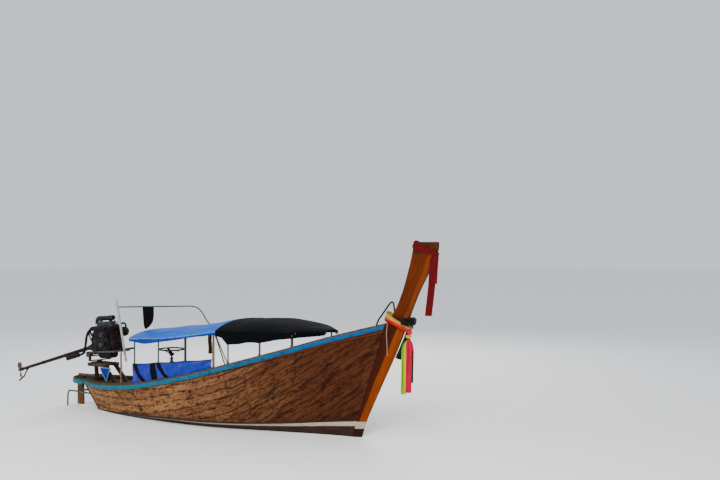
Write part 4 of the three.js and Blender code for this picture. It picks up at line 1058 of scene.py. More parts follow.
GALVANISED = metal_material("galvanised_iron", "7c8183", 0.75, 0.5, "4f3a2a", 0.35, 0.3, "b0aca4")
BLACK_IRON = metal_material("black_iron", "1d1c1b", 0.35, 0.55, "43291a", 0.35, 0.7, "6e675f")
for node, material, slot, bevel, segments in (
        ("rudder_bracket", GALVANISED, "steel", 0.003, 2), ("rudder_crosshead", GALVANISED, "steel", 0.004, 2),
        ("stern_pole", POLE_WOOD, "pale_wood", 0.006, 3), ("rudder", RUDDER_WOOD, "hull_wood", 0.006, 2),
        ("swivel_base", BLACK_IRON, "black_iron", 0.003, 2), ("swivel_yoke", BLACK_IRON, "black_iron", 0.003, 2),
        ("engine_bed", BED_WOOD, "dark_wood", 0.005, 2)):
    softened(node, material, slot, bevel, segments)
STEP_PATH = [(-2.7625, -0.262, 0.262), (-3.05, -0.258, 0.272), (-3.36, -0.247, 0.280), (-3.455, -0.244, 0.255),
             (-3.476, -0.244, 0.12), (-3.476, -0.244, -0.335)]
make("bent_step_pipe", tube(STEP_PATH, 0.0155, 16, 10), GALVANISED, "hull", "steel", replaces=("stern_step",),
     sharp=50)
bolts = [((x, y, 0.8005), (0, 0, 1), ROUND) for x in (-2.66, -2.83, -3.0) for y in (-0.135, 0.135)
         if not -3.05 < x < -2.80 or abs(y) > 0.12]
repeated("bed_bolt_heads", bolts, HEADS, (0.03, 0.03, 0.012), GALVANISED, "hull", "steel", jitter=0.05)
print("stern done")

# %% [markdown]
# The engine and its tail hang in one cradle that swings and tilts on the swivel. Their pieces are
# drawn level, around the tilt pin, and then turned to where the tail lies in the photograph.

# %% The tail's own frame and finishes
TAIL = (Matrix.Translation((-2.920, 0, 0.960)) @ Matrix.Rotation(radians(-12), 4, "Z")
        @ Matrix.Rotation(radians(-14), 4, "Y"))
LEVELLED = Matrix.Rotation(radians(8.5), 4, "Y")
SHAFT = 0.120
CAST_IRON = metal_material("cast_iron", "0b0c10", 0.3, 0.55, "150e0c", 0.4, 0.6, "50545c")
ALLOY = metal_material("cast_alloy", "30343c", 0.6, 0.45, "100d0c", 0.5, 0.65, "9a9ea4")
TAIL_STEEL = metal_material("tail_steel", "1a1412", 0.4, 0.55, "2a120a", 0.6, 0.5, "5c5450")
RUSTY = metal_material("rusty_steel", "351711", 0.3, 0.85, "120806", 0.55, 0.3, "6a4737")
RUBBER = metal_material("rubber", "0b0b0c", 0.0, 0.7, "25211c", 0.25, 0.0, "141516")
BRONZE = metal_material("worn_bronze", "84706a", 0.55, 0.45, "3c2c28", 0.4, 0.6, "b8a8a0")


def on_tail(*shapes, turn=TAIL):
    """Shapes drawn around the tilt pin, moved to where the tail lies."""
    points, faces = gathered(*shapes)
    return [tuple(turn @ Vector(p)) for p in points], faces


def spots_on(spots, turn):
    """Places and facings for repeated pieces, moved with the tail."""
    facing = turn.to_3x3()
    return [(turn @ Vector(p), facing @ Vector(way), ROUND) for p, way in spots]


def tail_piece(name, shapes, material, slot, nodes, bevel=0.0, body="tail", turn=TAIL, **options):
    """A piece drawn in the tail's own frame. nodes are the solids that it stands for."""
    return make(name, on_tail(*shapes, turn=turn), material, body, slot, replaces=nodes, bevel=bevel, **options)


def engine_piece(name, shapes, material, slot, nodes=(), bevel=0.0, **options):
    """The engine is drawn square to its crankshaft, which lies closer to level than the tail."""
    return tail_piece(name, shapes, material, slot, nodes, bevel, turn=TAIL @ LEVELLED, **options)


COUPLING = LEVELLED @ vec(-0.241, 0, SHAFT)


def mirrored(outline):
    """A half outline in y and z, starting at the top, closed over the other side."""
    return outline + [(-y, z) for y, z in outline[::-1]]


def along_x(outline, *places):
    """A prism of one outline through places along x, each with its own scale."""
    return row_grid([[(x, y * s, z) for y, z in outline] for x, s in places], around=True)


def screw_ring(centre, radius, profile, count, axis="x", start=0.0):
    """Six-sided screw heads round a flange that faces along X or Z."""
    heads = []
    for a in angles(count, start):
        c, s = radius * cos(a), radius * sin(a)
        offset = vec(0, c, s) if axis == "x" else vec(c, s, 0)
        heads.append(turned(profile, Vector(centre) + offset, axis, 6))
    return heads


# %% [markdown]
# The engine is a small four-cylinder diesel out of a car. Its iron block flares at the crankcase,
# with ribs, core plugs and a flanged sump, and an iron head stands on top.

# %% Castings
CASE = mirrored([(0.134, 0.388), (0.137, 0.306), (0.154, 0.294), (0.160, 0.280), (0.160, 0.216),
                 (0.152, 0.200), (0.138, 0.150), (0.134, 0.078), (0.126, 0.062)])
cylinders = [0.090, 0.210, 0.330, 0.450]
shapes = [along_x(CASE, (0.004, 1.0), (0.536, 1.0)), along_x(CASE, (0.0, 1.02), (0.016, 1.02)),
          along_x(CASE, (0.524, 1.02), (0.539, 1.02))]
shapes += [along_x(CASE, (x - 0.006, 1.03), (x + 0.006, 1.03)) for x in (0.036, 0.150, 0.270, 0.390, 0.506)]
for side in (-1, 1):
    for x in cylinders:
        plug = [(0, 0.026), (side * 0.005, 0.026), (side * 0.005, 0.026 * 0.8), (side * 0.005 * 0.4, 0.026 * 0.75)]
        shapes.append(turned(plug, (x, side * 0.135, 0.346), "y", 20))
    for x in (0.110, 0.430):
        shapes.append(block((x - 0.030, side * 0.148 - 0.033, 0.0488), (x + 0.030, side * 0.148 + 0.033, 0.060)))
        shapes.append(block((x - 0.030, side * 0.136 - 0.016, 0.058), (x + 0.030, side * 0.136 + 0.016, 0.150)))
    near, far = sorted((side * 0.126, side * 0.142))
    shapes.append(block((0.012, near, 0.062), (0.528, far, 0.077)))
shapes.append(block((0.012, -0.116, 0.391), (0.526, 0.120, 0.494)))
shapes.append(block((0.008, -0.122, 0.3875), (0.530, 0.126, 0.3925)))
for x in cylinders:
    shapes.append(turned([(0, 0.016), (0.010, 0.016), (0.012, 0.011), (0.030, 0.010), (0.034, 0.006)],
                         (x, 0.094, 0.492), "z", 14))
    shapes.append(block((x - 0.024, -0.122, 0.412), (x + 0.024, -0.114, 0.466)))
engine_piece("engine_castings", shapes, CAST_IRON, "castings", ("engine_block",), 0.005, segments=3)

SUMP = [(0.075, 0.100, 0.068), (0.075, 0.100, 0.054), (0.082, 0.090, 0.046), (0.092, 0.083, -0.050),
        (0.108, 0.070, -0.078), (0.126, 0.054, -0.086)]
rows = []
for x, half, z in SUMP:
    far = 0.552 - x
    rows.append([(x, -half, z), (far, -half, z), (far, half, z), (x, half, z)])
shapes = [row_grid(rows, around=True),
          turned([(0, 0.013), (-0.006, 0.013), (-0.010, 0.010)], (0.2, 0, -0.082), "z", 6)]
shapes += [block((0.150, y - 0.004, -0.091), (0.400, y + 0.004, -0.080)) for y in (-0.048, 0.0, 0.048)]
engine_piece("oil_sump", shapes, TAIL_STEEL, "castings", (), 0.007, segments=3)

# %% [markdown]
# On the head sits a ribbed alloy rocker cover with its filler cap. A timing cover closes the
# front, and a filter, a dipstick and a starter hang on the block's sides.

# %% Covers and small fittings
shapes = [block((0.032, -0.061, 0.4957), (0.498, 0.061, 0.508)),
          block((0.042, -0.053, 0.504), (0.488, 0.053, 0.566))]
for n in range(5):
    y = -0.036 + 0.018 * n
    shapes.append(block((0.056, y - 0.0025, 0.564), (0.474, y + 0.0025, 0.5705)))
for profile, sides in (([(0.0, 0.034), (0.006, 0.034), (0.008, 0.026), (0.014, 0.026)], 24),
                       ([(0.016, 0.024), (0.018, 0.028), (0.036, 0.027), (0.040, 0.021)], 10)):
    shapes.append(turned(profile, (0.150, -0.034, 0.562), "z", sides))
engine_piece("ribbed_rocker_cover", shapes, ALLOY, "covers", ("rocker_cover",), 0.006, segments=3)

TIMING = mirrored([(0.082, 0.382), (0.110, 0.350), (0.117, 0.240), (0.110, 0.140), (0.080, 0.072)])
shapes = [along_x(TIMING, (0.538, 1.0), (0.550, 1.0), (0.5535, 0.93)),
          turned([(0.0, 0.058), (0.006, 0.054), (0.008, 0.034)], (0.552, 0, 0.350), "x", 28),
          turned([(0.0, 0.046), (0.006, 0.042), (0.008, 0.030)], (0.552, 0, SHAFT), "x", 28),
          block((0.500, -0.108, 0.460), (0.532, -0.052, 0.500)),
          tube([(0.520, -0.080, 0.480), (0.545, -0.080, 0.492), (0.562, -0.094, 0.500)], 0.019, 16, 6)]
engine_piece("timing_cover", shapes, ALLOY, "covers", (), 0.003)

shapes = [turned([(0.002, 0.030), (-0.006, 0.032), (-0.010, 0.041), (-0.072, 0.041), (-0.080, 0.036),
                  (-0.083, 0.020)], (0.380, -0.158, 0.152), "y", 28),
          turned([(-0.083, 0.011), (-0.090, 0.010)], (0.380, -0.158, 0.152), "y", 6)]
FILTER_PAINT = metal_material("filter_paint", "6d6a62", 0.2, 0.5, "1b130d", 0.5, 0.4)
engine_piece("oil_filter", shapes, FILTER_PAINT, "covers", (), 0.002)
shapes = [turned([(-0.09, 0.030), (-0.085, 0.046), (0.085, 0.046), (0.095, 0.036), (0.125, 0.030), (0.127, 0.018)],
                 (0.120, 0.196, 0.142), "x", 28),
          turned([(-0.060, 0.020), (-0.055, 0.025), (0.040, 0.025), (0.050, 0.012)], (0.110, 0.171, 0.200), "x", 20),
          turned([(-0.008, 0.066), (0.008, 0.066)], (0.020, 0.189, 0.142), "x", 28)]
engine_piece("starter_motor", shapes, CAST_IRON, "castings", (), 0.002)
shapes = [block((0.230, 0.155, 0.218), (0.380, 0.216, 0.295)),
          turned([(0.0, 0.040), (0.030, 0.044), (0.040, 0.036)], (0.378, 0.186, 0.257), "x", 24)]
for i, x in enumerate(cylinders):
    start = (0.248 + 0.037 * i, 0.184, 0.293)
    shapes.append(turned([(0, 0.008), (0.016, 0.008), (0.020, 0.004)], start, "z", 8))
    shapes.append(tube([start, (start[0], 0.188, 0.345), (start[0], 0.194, 0.392), (x, 0.200, 0.445),
                        (x, 0.188, 0.530), (x, 0.136, 0.560), (x, 0.096, 0.526)], 0.0034, 8, 6))
engine_piece("injection_pump", shapes, ALLOY, "covers", (), 0.003)
shapes = [tube([(0.205, -0.152, 0.190), (0.205, -0.182, 0.250), (0.200, -0.190, 0.370), (0.198, -0.184, 0.480)],
               0.0045, 8, 8)]
ring = [(0.198, -0.184 + 0.014 * sin(a), 0.494 - 0.014 * cos(a))
        for a in (2 * pi * n / 24 for n in range(25))]
shapes.append(tube(ring, 0.0022, 6))
engine_piece("dipstick", shapes, TAIL_STEEL, "tail_metal")
print("engine castings", TRIANGLES["engine_castings"])

# %% [markdown]
# A V-belt runs round three grooved pulleys: the crankshaft's, the water pump's and the
# alternator's. Its path is the tight loop around three circles, so it touches each groove.

# %% Pulleys, belt and alternator
ALT = vec(0.576, -0.218, 0.340)
WHEELS = [(0.0, SHAFT, 0.078), (0.0, 0.350, 0.116), (ALT.y, ALT.z, 0.036)]


def grooved(y, z, radius, hub):
    """A pulley with one V groove and a stepped hub."""
    r = radius
    return turned([(-0.023, hub), (-0.012, hub), (-0.012, r - 0.016), (-0.013, r - 0.003), (-0.011, r), (-0.008, r),
                   (-0.003, r - 0.011), (0.003, r - 0.011), (0.008, r), (0.011, r), (0.0125, r - 0.003),
                   (0.004, r - 0.016), (0.003, hub * 0.95), (0.013, hub * 0.6), (0.016, hub * 0.4)],
                  (ALT.x, y, z), "x", 48)


def belt_loop(circles, grow, x):
    """Points round the outside of circles in y and z, like a rubber band."""
    spots = sorted((cy + (r + grow) * cos(a), cz + (r + grow) * sin(a)) for cy, cz, r in circles
                   for a in angles(90))

    def half(points):
        chain = []
        for p in points:
            while len(chain) > 1:
                (ay, az), (by, bz) = chain[-2], chain[-1]
                if (by - ay) * (p[1] - az) - (bz - az) * (p[0] - ay) > 0:
                    break
                chain.pop()
            chain.append(p)
        return chain[:-1]

    return [vec(x, y, z) for y, z in half(spots) + half(spots[::-1])]


def belt():
    """The belt's four-sided section, carried round its loop."""
    loop = belt_loop(WHEELS, -0.003, ALT.x)
    middle = sum(loop, Vector()) / len(loop)
    rows = []
    for i, p in enumerate(loop):
        ahead = (loop[(i + 1) % len(loop)] - loop[i - 1]).normalized()
        out = ahead.cross(vec(1, 0, 0))
        out = out if out.dot(p - middle) > 0 else -out
        rows.append([p + out * up + vec(side, 0, 0) for side, up in
                     ((-0.0065, 0.004), (0.0065, 0.004), (0.0045, -0.005), (-0.0045, -0.005))])
    return row_grid(rows + rows[:1], around=True, caps=False)


shapes = [grooved(y, z, radius, hub) for (y, z, radius), hub in zip(WHEELS, (0.030, 0.040, 0.012))]
shapes += screw_ring((0.578, 0, 0.350), 0.024, [(0, 0.007), (0.008, 0.007), (0.009, 0.004)], 6)
engine_piece("grooved_pulleys", shapes, TAIL_STEEL, "castings", ("belt_pulleys",))
engine_piece("v_belt", [belt()], RUBBER, "hose")
shapes = [turned([(-0.065, 0.022), (-0.064, 0.044), (-0.056, 0.052), (-0.038, 0.055), (-0.034, 0.050), (-0.022, 0.050),
                  (-0.019, 0.056), (0.019, 0.056), (0.022, 0.050), (0.034, 0.050), (0.038, 0.055), (0.056, 0.051),
                  (0.063, 0.042), (0.065, 0.016)], (0.478, ALT.y, ALT.z), "x", 36)]
for a in angles(10):
    c, s = cos(a), sin(a)
    shapes.append(tube([(0.418, ALT.y + 0.036 * c, ALT.z + 0.036 * s), (0.416, ALT.y + 0.048 * c, ALT.z + 0.048 * s)],
                       0.004, 6))
    shapes.append(tube([(0.513, ALT.y + 0.0515 * c, ALT.z + 0.0515 * s),
                        (0.538, ALT.y + 0.046 * c, ALT.z + 0.046 * s)], 0.004, 6))
shapes += [block((x - 0.008, -0.209, 0.284), (x + 0.008, -0.140, 0.308)) for x in (0.438, 0.500)]
shapes.append(turned([(-0.055, 0.006), (0.055, 0.006)], (0.468, -0.203, 0.296), "x", 10))
shapes.append(tube([(0.535, -0.130, 0.382), (0.535, -0.178, 0.402), (0.535, -0.225, 0.394)], 0.007, 6, 8))
engine_piece("finned_alternator", shapes, ALLOY, "covers", ("alternator",), 0.0015, sharp=45)

PUMP = vec(0.640, 0.130, 0.372)
shapes = [turned([(-0.048, 0.050), (-0.046, 0.074), (-0.034, 0.084), (0.010, 0.084), (0.022, 0.076), (0.030, 0.050),
                  (0.036, 0.046), (0.044, 0.020)], PUMP, "x", 40),
          block((0.530, 0.090, 0.336), (0.600, 0.150, 0.372)),
          tube([PUMP + vec(0, 0.020, 0.070), PUMP + vec(-0.010, 0.030, 0.120),
                PUMP + vec(-0.060, 0.020, 0.150), (0.520, 0.120, 0.500)], 0.017, 14, 8)]
shapes += screw_ring(PUMP + vec(0.018, 0, 0), 0.068, [(0, 0.006), (0.008, 0.006), (0.009, 0.003)], 8)
engine_piece("front_water_pump", shapes, CAST_IRON, "castings", (), 0.002, sharp=45)

# %% [markdown]
# Four short branches gather into the exhaust log, and a rusty pipe leads back beside the tail to
# a brown muffler. The air cleaner is a pressed drum on a bent pipe above the intake.

# %% Exhaust and air cleaner
shapes = [tube([(0.070, -0.148, 0.438), (0.436, -0.148, 0.438)], 0.0235, 18),
          turned([(0.0, 0.018), (0.004, 0.026), (0.012, 0.026), (0.014, 0.020)], (0.428, -0.148, 0.438), "x", 18)]
for x in cylinders:
    shapes.append(tube([(x, -0.118, 0.442), (x - 0.006, -0.134, 0.442), (x - 0.020, -0.148, 0.438)], 0.018, 14, 5))
    shapes.append(block((x - 0.034, -0.129, 0.420), (x + 0.034, -0.1185, 0.462)))
shapes = [on_tail(*shapes, turn=LEVELLED)]
pipe_z = COUPLING.z
DOWN = [LEVELLED @ Vector(p) for p in ((0.100, -0.145, 0.438), (-0.040, -0.158, 0.428), (-0.160, -0.150, 0.330),
                                       (-0.240, -0.130, 0.190))]
DOWN += [(-0.360, -0.100, pipe_z - 0.074), (-0.552, -0.092, pipe_z - 0.086)]
shapes.append(tube(DOWN, 0.0225, 18, 14))
MUFFLER = (-0.750, -0.092, pipe_z - 0.088)
shapes.append(turned([(-0.235, 0.017), (-0.208, 0.017), (-0.207, 0.030), (-0.200, 0.037), (-0.196, 0.038),
                      (-0.192, 0.037), (-0.060, 0.0365), (-0.055, 0.038), (-0.050, 0.0365), (0.060, 0.0365),
                      (0.065, 0.038), (0.070, 0.0365), (0.194, 0.037), (0.200, 0.038), (0.206, 0.030), (0.208, 0.023)],
                     MUFFLER, "x", 32))
shapes.append(block((-0.733, -0.090, pipe_z - 0.052), (-0.717, -0.026, pipe_z - 0.044)))
shapes.append(block((-0.733, -0.030, pipe_z - 0.052), (-0.717, -0.022, pipe_z - 0.018)))
shapes.append(turned([(-0.010, 0.0395), (0.010, 0.0395)], (-0.725, MUFFLER[1], MUFFLER[2]), "x", 32))
tail_piece("rusty_exhaust", shapes, RUSTY, "rusty_steel", ("exhaust",), 0.002, sharp=45)

shapes = [block((0.060, 0.1235, 0.412), (0.440, 0.168, 0.458))]
shapes += [block((x - 0.030, 0.122, 0.414), (min(x + 0.030, 0.446), 0.132, 0.456)) for x in cylinders]
shapes.append(tube([(0.215, 0.150, 0.445), (0.215, 0.150, 0.520), (0.214, 0.120, 0.590), (0.212, 0.070, 0.630)],
                   0.027, 18, 8))
engine_piece("intake_manifold", shapes, ALLOY, "covers", (), 0.006, segments=3)
drum_line = (0.190, 0.045, 0.632)
shapes = [turned([(-0.243, 0.034), (-0.240, 0.042), (-0.236, 0.0455), (-0.190, 0.0455), (-0.188, 0.042),
                  (0.186, 0.042), (0.188, 0.0455), (0.236, 0.0455), (0.240, 0.041), (0.242, 0.030), (0.238, 0.020)],
                 drum_line, "x", 40),
          tube([(-0.040, 0.045, 0.632), (-0.084, 0.045, 0.622), (-0.102, 0.045, 0.580), (-0.104, 0.045, 0.530)],
               0.033, 20, 8),
          turned([(0.0, 0.010), (0.008, 0.009), (0.010, 0.004), (0.020, 0.004)], (0.430, 0.045, 0.632), "x", 10)]
for x in (0.060, 0.320):
    strap = [(-0.008, 0.0455), (-0.006, 0.047), (0.006, 0.047), (0.008, 0.0455)]
    shapes += [turned(strap, (x, 0.045, 0.632), "x", 40), block((x - 0.010, 0.036, 0.562), (x + 0.010, 0.054, 0.596))]
DRUM_PAINT = metal_material("air_cleaner_paint", "15171b", 0.3, 0.45, "1a120c", 0.4, 0.6)
engine_piece("air_cleaner_drum", shapes, DRUM_PAINT, "covers", ("air_cleaner",), 0.0015, sharp=45)
print("exhaust", TRIANGLES["rusty_exhaust"])

# %% [markdown]
# Hoses and wires run between fixed points: coolant from the head to the housing, fuel to the
# filter, and the charging cable. Worm-drive clamps hold both ends of the coolant hose.

# %% Hoses and wires
HOSE = [(0.030, -0.040, 0.450), (-0.070, -0.060, 0.482), (-0.170, -0.064, 0.450), (-0.200, -0.030, 0.350),
        (-0.160, 0.010, 0.270), (-0.090, 0.030, 0.205)]
engine_piece("coolant_hose", [tube(HOSE, 0.0155, 14, 12)], RUBBER, "hose", ("cooling_hose",))
shapes = [tube([(-0.010, -0.070, 0.460), (-0.110, -0.100, 0.445), (-0.165, -0.095, 0.340), (-0.118, -0.060, 0.195)],
               0.012, 12, 10),
          tube([(0.010, 0.060, 0.440), (-0.090, 0.080, 0.400), (-0.130, 0.070, 0.300), (-0.080, 0.050, 0.200)],
               0.014, 12, 10),
          tube([(0.470, -0.163, 0.350), (0.360, -0.172, 0.320), (0.200, -0.176, 0.306), (0.050, -0.168, 0.290),
                (-0.030, -0.110, 0.210)], 0.0055, 8, 10),
          tube([(0.390, 0.187, 0.292), (0.450, 0.175, 0.350), (0.450, 0.135, 0.510), (0.330, 0.075, 0.600),
                (0.240, 0.030, 0.600)], 0.0045, 8, 10),
          tube([(0.030, 0.180, 0.222), (-0.020, 0.150, 0.290), (-0.028, 0.060, 0.400), (0.014, 0.010, 0.470)],
               0.006, 8, 10)]
engine_piece("small_hoses_and_wires", shapes, RUBBER, "hose")


def clamps_at(path, radius, ends):
    """A worm-drive band round a hose near each end of its path."""
    points = smooth_path(path, 12)
    screw = vec(0, 0, 0.008)
    found = []
    for i in ends:
        ahead = (points[i + 1] - points[i - 1]).normalized() * 0.006
        side = ahead.cross(vec(0, 0, 1)).normalized() * (radius + 0.002)
        found += [tube([points[i] - ahead, points[i] + ahead], radius, 16),
                  tube([points[i] + side - screw, points[i] + side + screw], 0.0035, 8)]
    return found


engine_piece("hose_clamps", clamps_at(HOSE, 0.0175, (4, -5)), GALVANISED, "steel")

# %% [markdown]
# The cradle is welded from steel angle, pale with salt. Behind the bell housing the long tail
# tube narrows to its outer bearing, where a skeg guards the two-bladed bronze propeller.

# %% Cradle, tail and propeller
def angle_iron(x0, x1, y, side):
    """A rolled angle: an upright leg under a flat one, both four millimetres thick."""
    outline = [(y - side * 0.016, 0.0478), (y + side * 0.016, 0.0478), (y + side * 0.016, 0.0418),
               (y - side * 0.010, 0.0418), (y - side * 0.010, 0.0165), (y - side * 0.016, 0.0165)]
    return row_grid([[(x, v, z) for v, z in outline] for x in (x0, x1)], around=True)


shapes = [turned([(-0.230, 0.010), (-0.228, 0.0138), (0.228, 0.0138), (0.230, 0.010)], (0, 0, 0), "y", 24)]
for side in (-1, 1):
    y = side * 0.165
    shapes.append(angle_iron(-0.170, 0.720, y, side))
    shapes.append(block((-0.026, y - 0.016, -0.024), (0.026, y + 0.016, 0.043)))
    shapes.append(block((-0.170, y - 0.016, -0.050), (-0.130, y + 0.016, 0.043)))
    shapes.append(turned([(-side * 0.002, 0.024), (side * 0.006, 0.024), (side * 0.010, 0.018)],
                         (0, side * 0.220, 0), "y", 6))
shapes.append(block((-0.170, -0.165, -0.050), (-0.130, 0.165, -0.026)))
shapes.append(block((0.684, -0.165, 0.016), (0.720, 0.165, 0.048)))
engine_piece("welded_cradle", shapes, GALVANISED, "steel", ("engine_cradle",), 0.002)

shapes = [turned([(-0.0645, 0.092), (-0.0635, 0.098), (-0.052, 0.098), (-0.048, 0.101), (0.048, 0.101),
                  (0.052, 0.103), (0.0635, 0.103), (0.064, 0.085)], (-0.066, 0, SHAFT), "x", 40),
          turned([(-0.055, 0.042), (-0.055, 0.058), (-0.050, 0.060), (-0.024, 0.069), (0.030, 0.088), (0.048, 0.098),
                  (0.0545, 0.098)], (-0.186, 0, SHAFT), "x", 40)]
for a in angles(8, 0.5):
    c, s = cos(a), sin(a)
    ridge = [(x, (r + 0.004) * c, SHAFT + (r + 0.004) * s) for x, r in
             ((-0.234, 0.056), (-0.208, 0.068), (-0.156, 0.086), (-0.136, 0.095))]
    shapes.append(tube(ridge, 0.0055, 6))
engine_piece("ribbed_bell_housing", shapes, CAST_IRON, "castings", ("bell_housing",), 0.0015)

line = (0, 0, COUPLING.z)
shapes = [turned([(-2.866, 0.020), (-2.864, 0.025)] + [(-2.864 + 2.630 * n / 12, 0.029 + 0.007 * n / 12)
                                                      for n in range(1, 13)], line, "x", 32),
          turned([(-0.3126, 0.032), (-0.310, 0.044), (-0.302, 0.047), (-0.256, 0.047), (-0.252, 0.044),
                  (-0.244, 0.044), (-0.240, 0.048), (-0.226, 0.048)], line, "x", 32),
          turned([(-2.866, 0.024), (-2.865, 0.031), (-2.860, 0.034), (-2.800, 0.034), (-2.795, 0.028)], line, "x", 32)]
for x, r in ((-1.150, 0.0375), (-2.000, 0.0352)):
    shapes.append(turned([(-0.020, r - 0.002), (-0.018, r), (0.018, r), (0.020, r - 0.002)], (x, 0, line[2]), "x", 28))
NIPPLE = [(0.0, 0.006), (0.010, 0.006), (0.012, 0.003), (0.020, 0.004)]
shapes += [turned(NIPPLE, (x, 0, line[2] + 0.033), "z", 8) for x in (-0.290, -2.830)]
tail_piece("long_tail_tube", shapes, TAIL_STEEL, "tail_metal", ("tail_tube",), sharp=45)

shapes = [tube([(0.700, 0, 0.060), (1.060, 0, 0.0712)], 0.0128, 16),
          block((0.687, -0.024, 0.0488), (0.717, 0.024, 0.073))]
engine_piece("tiller_bar", shapes, TAIL_STEEL, "tail_metal", ("tiller_handle",), 0.002)
axis = (vec(1.090, 0, 0.0722) - vec(0.935, 0, 0.0673)).normalized()
grip = [vec(0.936, 0, 0.0673) + axis * s for s in [0.152 * n / 40 for n in range(41)]]


def grip_radius(t):
    end = 0.010 if t < 0.02 or t > 0.985 else 0.0
    swell = 0.0035 if t > 0.90 else 0.0
    return 0.0175 - end + swell - 0.0014 * (sin(t * 60) > 0.2)


engine_piece("rubber_grip", [tube(grip, 0.018, 20, radii=grip_radius)], RUBBER, "hose")


def flat_bar(a, b, half, tall):
    """A flat bar between two points in a plane along the boat."""
    a, b = Vector(a), Vector(b)
    ahead = (b - a).normalized()
    up = ahead.cross(vec(0, 1, 0)).normalized() * tall
    side = vec(0, half, 0)
    return row_grid([[p + side + up, p - side + up, p - side - up, p + side - up] for p in (a, b)], around=True)


HUB = vec(-2.930, 0, COUPLING.z)
shapes = [flat_bar(HUB + vec(0.290, 0, -0.035), HUB + vec(0.110, 0, -0.160), 0.006, 0.016),
          flat_bar(HUB + vec(0.125, 0, -0.152), HUB + vec(-0.095, 0, -0.206), 0.006, 0.016),
          block(HUB + vec(0.250, -0.014, -0.0435), HUB + vec(0.330, 0.014, -0.026))]
tail_piece("steel_skeg", shapes, TAIL_STEEL, "tail_metal", ("propeller_skeg",), 0.002)

BLADE = [  # distance from the shaft, half chord, pitch in degrees, half thickness
    (0.016, 0.026, 62, 0.007), (0.050, 0.040, 50, 0.0055), (0.090, 0.046, 38, 0.0045),
    (0.130, 0.038, 30, 0.0035), (0.158, 0.018, 26, 0.0025)]


def smooth_blade(side):
    """One twisted blade: rows of a lens section, wide in the middle and rounded at the tip."""
    rows = []
    for t in shares(22):
        radius = mid(BLADE[0][0], BLADE[-1][0], t)
        _, chord, pitch, thick = table_at(BLADE, radius)
        chord *= sqrt(max(1 - max(t - 0.8, 0) ** 2 * 12, 0.12))
        c, s = cos(radians(pitch)), sin(radians(pitch))
        row = []
        for a in angles(18):
            along, off = chord * cos(a), thick * sin(a) * abs(sin(a)) ** 0.3
            row.append((along * s + off * c, side * (along * c - off * s), side * radius))
        rows.append(row)
    return row_grid(rows, around=True)


def at_propeller(shape):
    """A shape drawn around the shaft's end, moved to the propeller."""
    points, faces = shape
    return [Vector(p) + HUB for p in points], faces


shapes = [at_propeller(smooth_blade(side)) for side in (1, -1)]
shapes.append(at_propeller(turned([(-0.066, 0.008), (-0.064, 0.013), (-0.060, 0.015), (-0.058, 0.022), (-0.054, 0.024),
                                   (0.034, 0.034), (0.038, 0.032), (0.038, 0.014), (0.063, 0.014)],
                                  (0, 0, 0), "x", 36)))
tail_piece("bronze_propeller", shapes, BRONZE, "bronze", ("propeller",), body="propeller", sharp=45)

# %% [markdown]
# Rows of bolt heads make an engine read as one. They follow its flanges: under the rocker cover,
# round the timing cover and the bell housing, along the exhaust, the mounts and the sump.

# %% Bolts on the engine
bolts = []
for n in range(8):
    for y in (-0.096, 0.088):
        bolts.append(((0.034 + 0.0675 * n, y, 0.4955), (0, 0, 1)))
for x in (0.050, 0.180, 0.330, 0.480):
    bolts += [((x, y, 0.510), (0, 0, 1)) for y in (-0.057, 0.057)]
for y, z in TIMING:
    bolts.append(((0.555, y * 0.95, SHAFT + (z - SHAFT) * 0.97), (1, 0, 0)))
for a in angles(10):
    bolts.append(((-0.132, 0.097 * cos(a), SHAFT + 0.097 * sin(a)), (-1, 0, 0)))
for x in cylinders:
    for dx in (-0.026, 0.026):
        bolts.append(((x + dx, -0.130, 0.441), (0, -1, 0)))
for side in (-1, 1):
    for x in (0.092, 0.128, 0.412, 0.448):
        bolts.append(((x, side * 0.166, 0.062), (0, 0, 1)))
    for n in range(7):
        bolts.append(((0.040 + 0.076 * n, side * 0.137, 0.080), (0, 0, 1)))
repeated("engine_bolts", spots_on(bolts, TAIL @ LEVELLED), HEXES, (0.018, 0.018, 0.010), TAIL_STEEL, "tail",
         "castings", jitter=0.04, seed=4, sharp=30)
print("engine bolts", len(bolts), "propeller", TRIANGLES["bronze_propeller"])

# %% [markdown]
# The canopy stands on pipe posts let into the gunwale. A rail runs along their tops and a bent
# bow crosses over each pair. All are round pipe, so tubes are swept along the same centre lines
# as the solids.

# %% The canopy's frame
POSTS = {-1: (-1.450, -0.865, -0.275, 0.315, 0.600, 1.165, 1.690), 1: (-1.450, -0.865, 0.123, 0.819, 1.690)}
BOWS = [(-1.450, 0.118), (-0.865, 0.150), (-0.275, 0.146), (0.315, 0.160), (0.500, 0.130), (0.820, 0.152),
        (1.165, 0.160), (1.690, 0.095), (2.030, 0.040)]
RAIL_LEVELS = [(-1.580, 1.343), (-1.020, 1.376), (-0.440, 1.436), (0.315, 1.553), (0.600, 1.575), (1.165, 1.585),
               (1.690, 1.585), (2.110, 1.572)]
FORE_END, FORE_HALF = 2.030, 0.200
POST, BOW = 0.013, 0.011
POST_INSET, CAP_TOP = 0.045, 0.0265
PIPE_PAINT = metal_material("pipe_paint", "56696c", 0.2, 0.5, "3b2b20", 0.4, 0.5, "80837f")


def smooth_at(table, x):
    """The row of a table at x, on a smooth curve through its rows."""
    i = max(0, min(len(table) - 2, sum(x > row[0] for row in table) - 1))
    near, far = table[i], table[i + 1]
    run = far[0] - near[0]
    t = (x - near[0]) / run

    def slope(k, c):
        a, b = table[max(k - 1, 0)], table[min(k + 1, len(table) - 1)]
        return (b[c] - a[c]) / (b[0] - a[0]) * run

    return [hermite(near[c], far[c], slope(i, c), slope(i + 1, c), t) for c in range(len(near))]


def rail_z(x):
    return smooth_at(RAIL_LEVELS, x)[1]


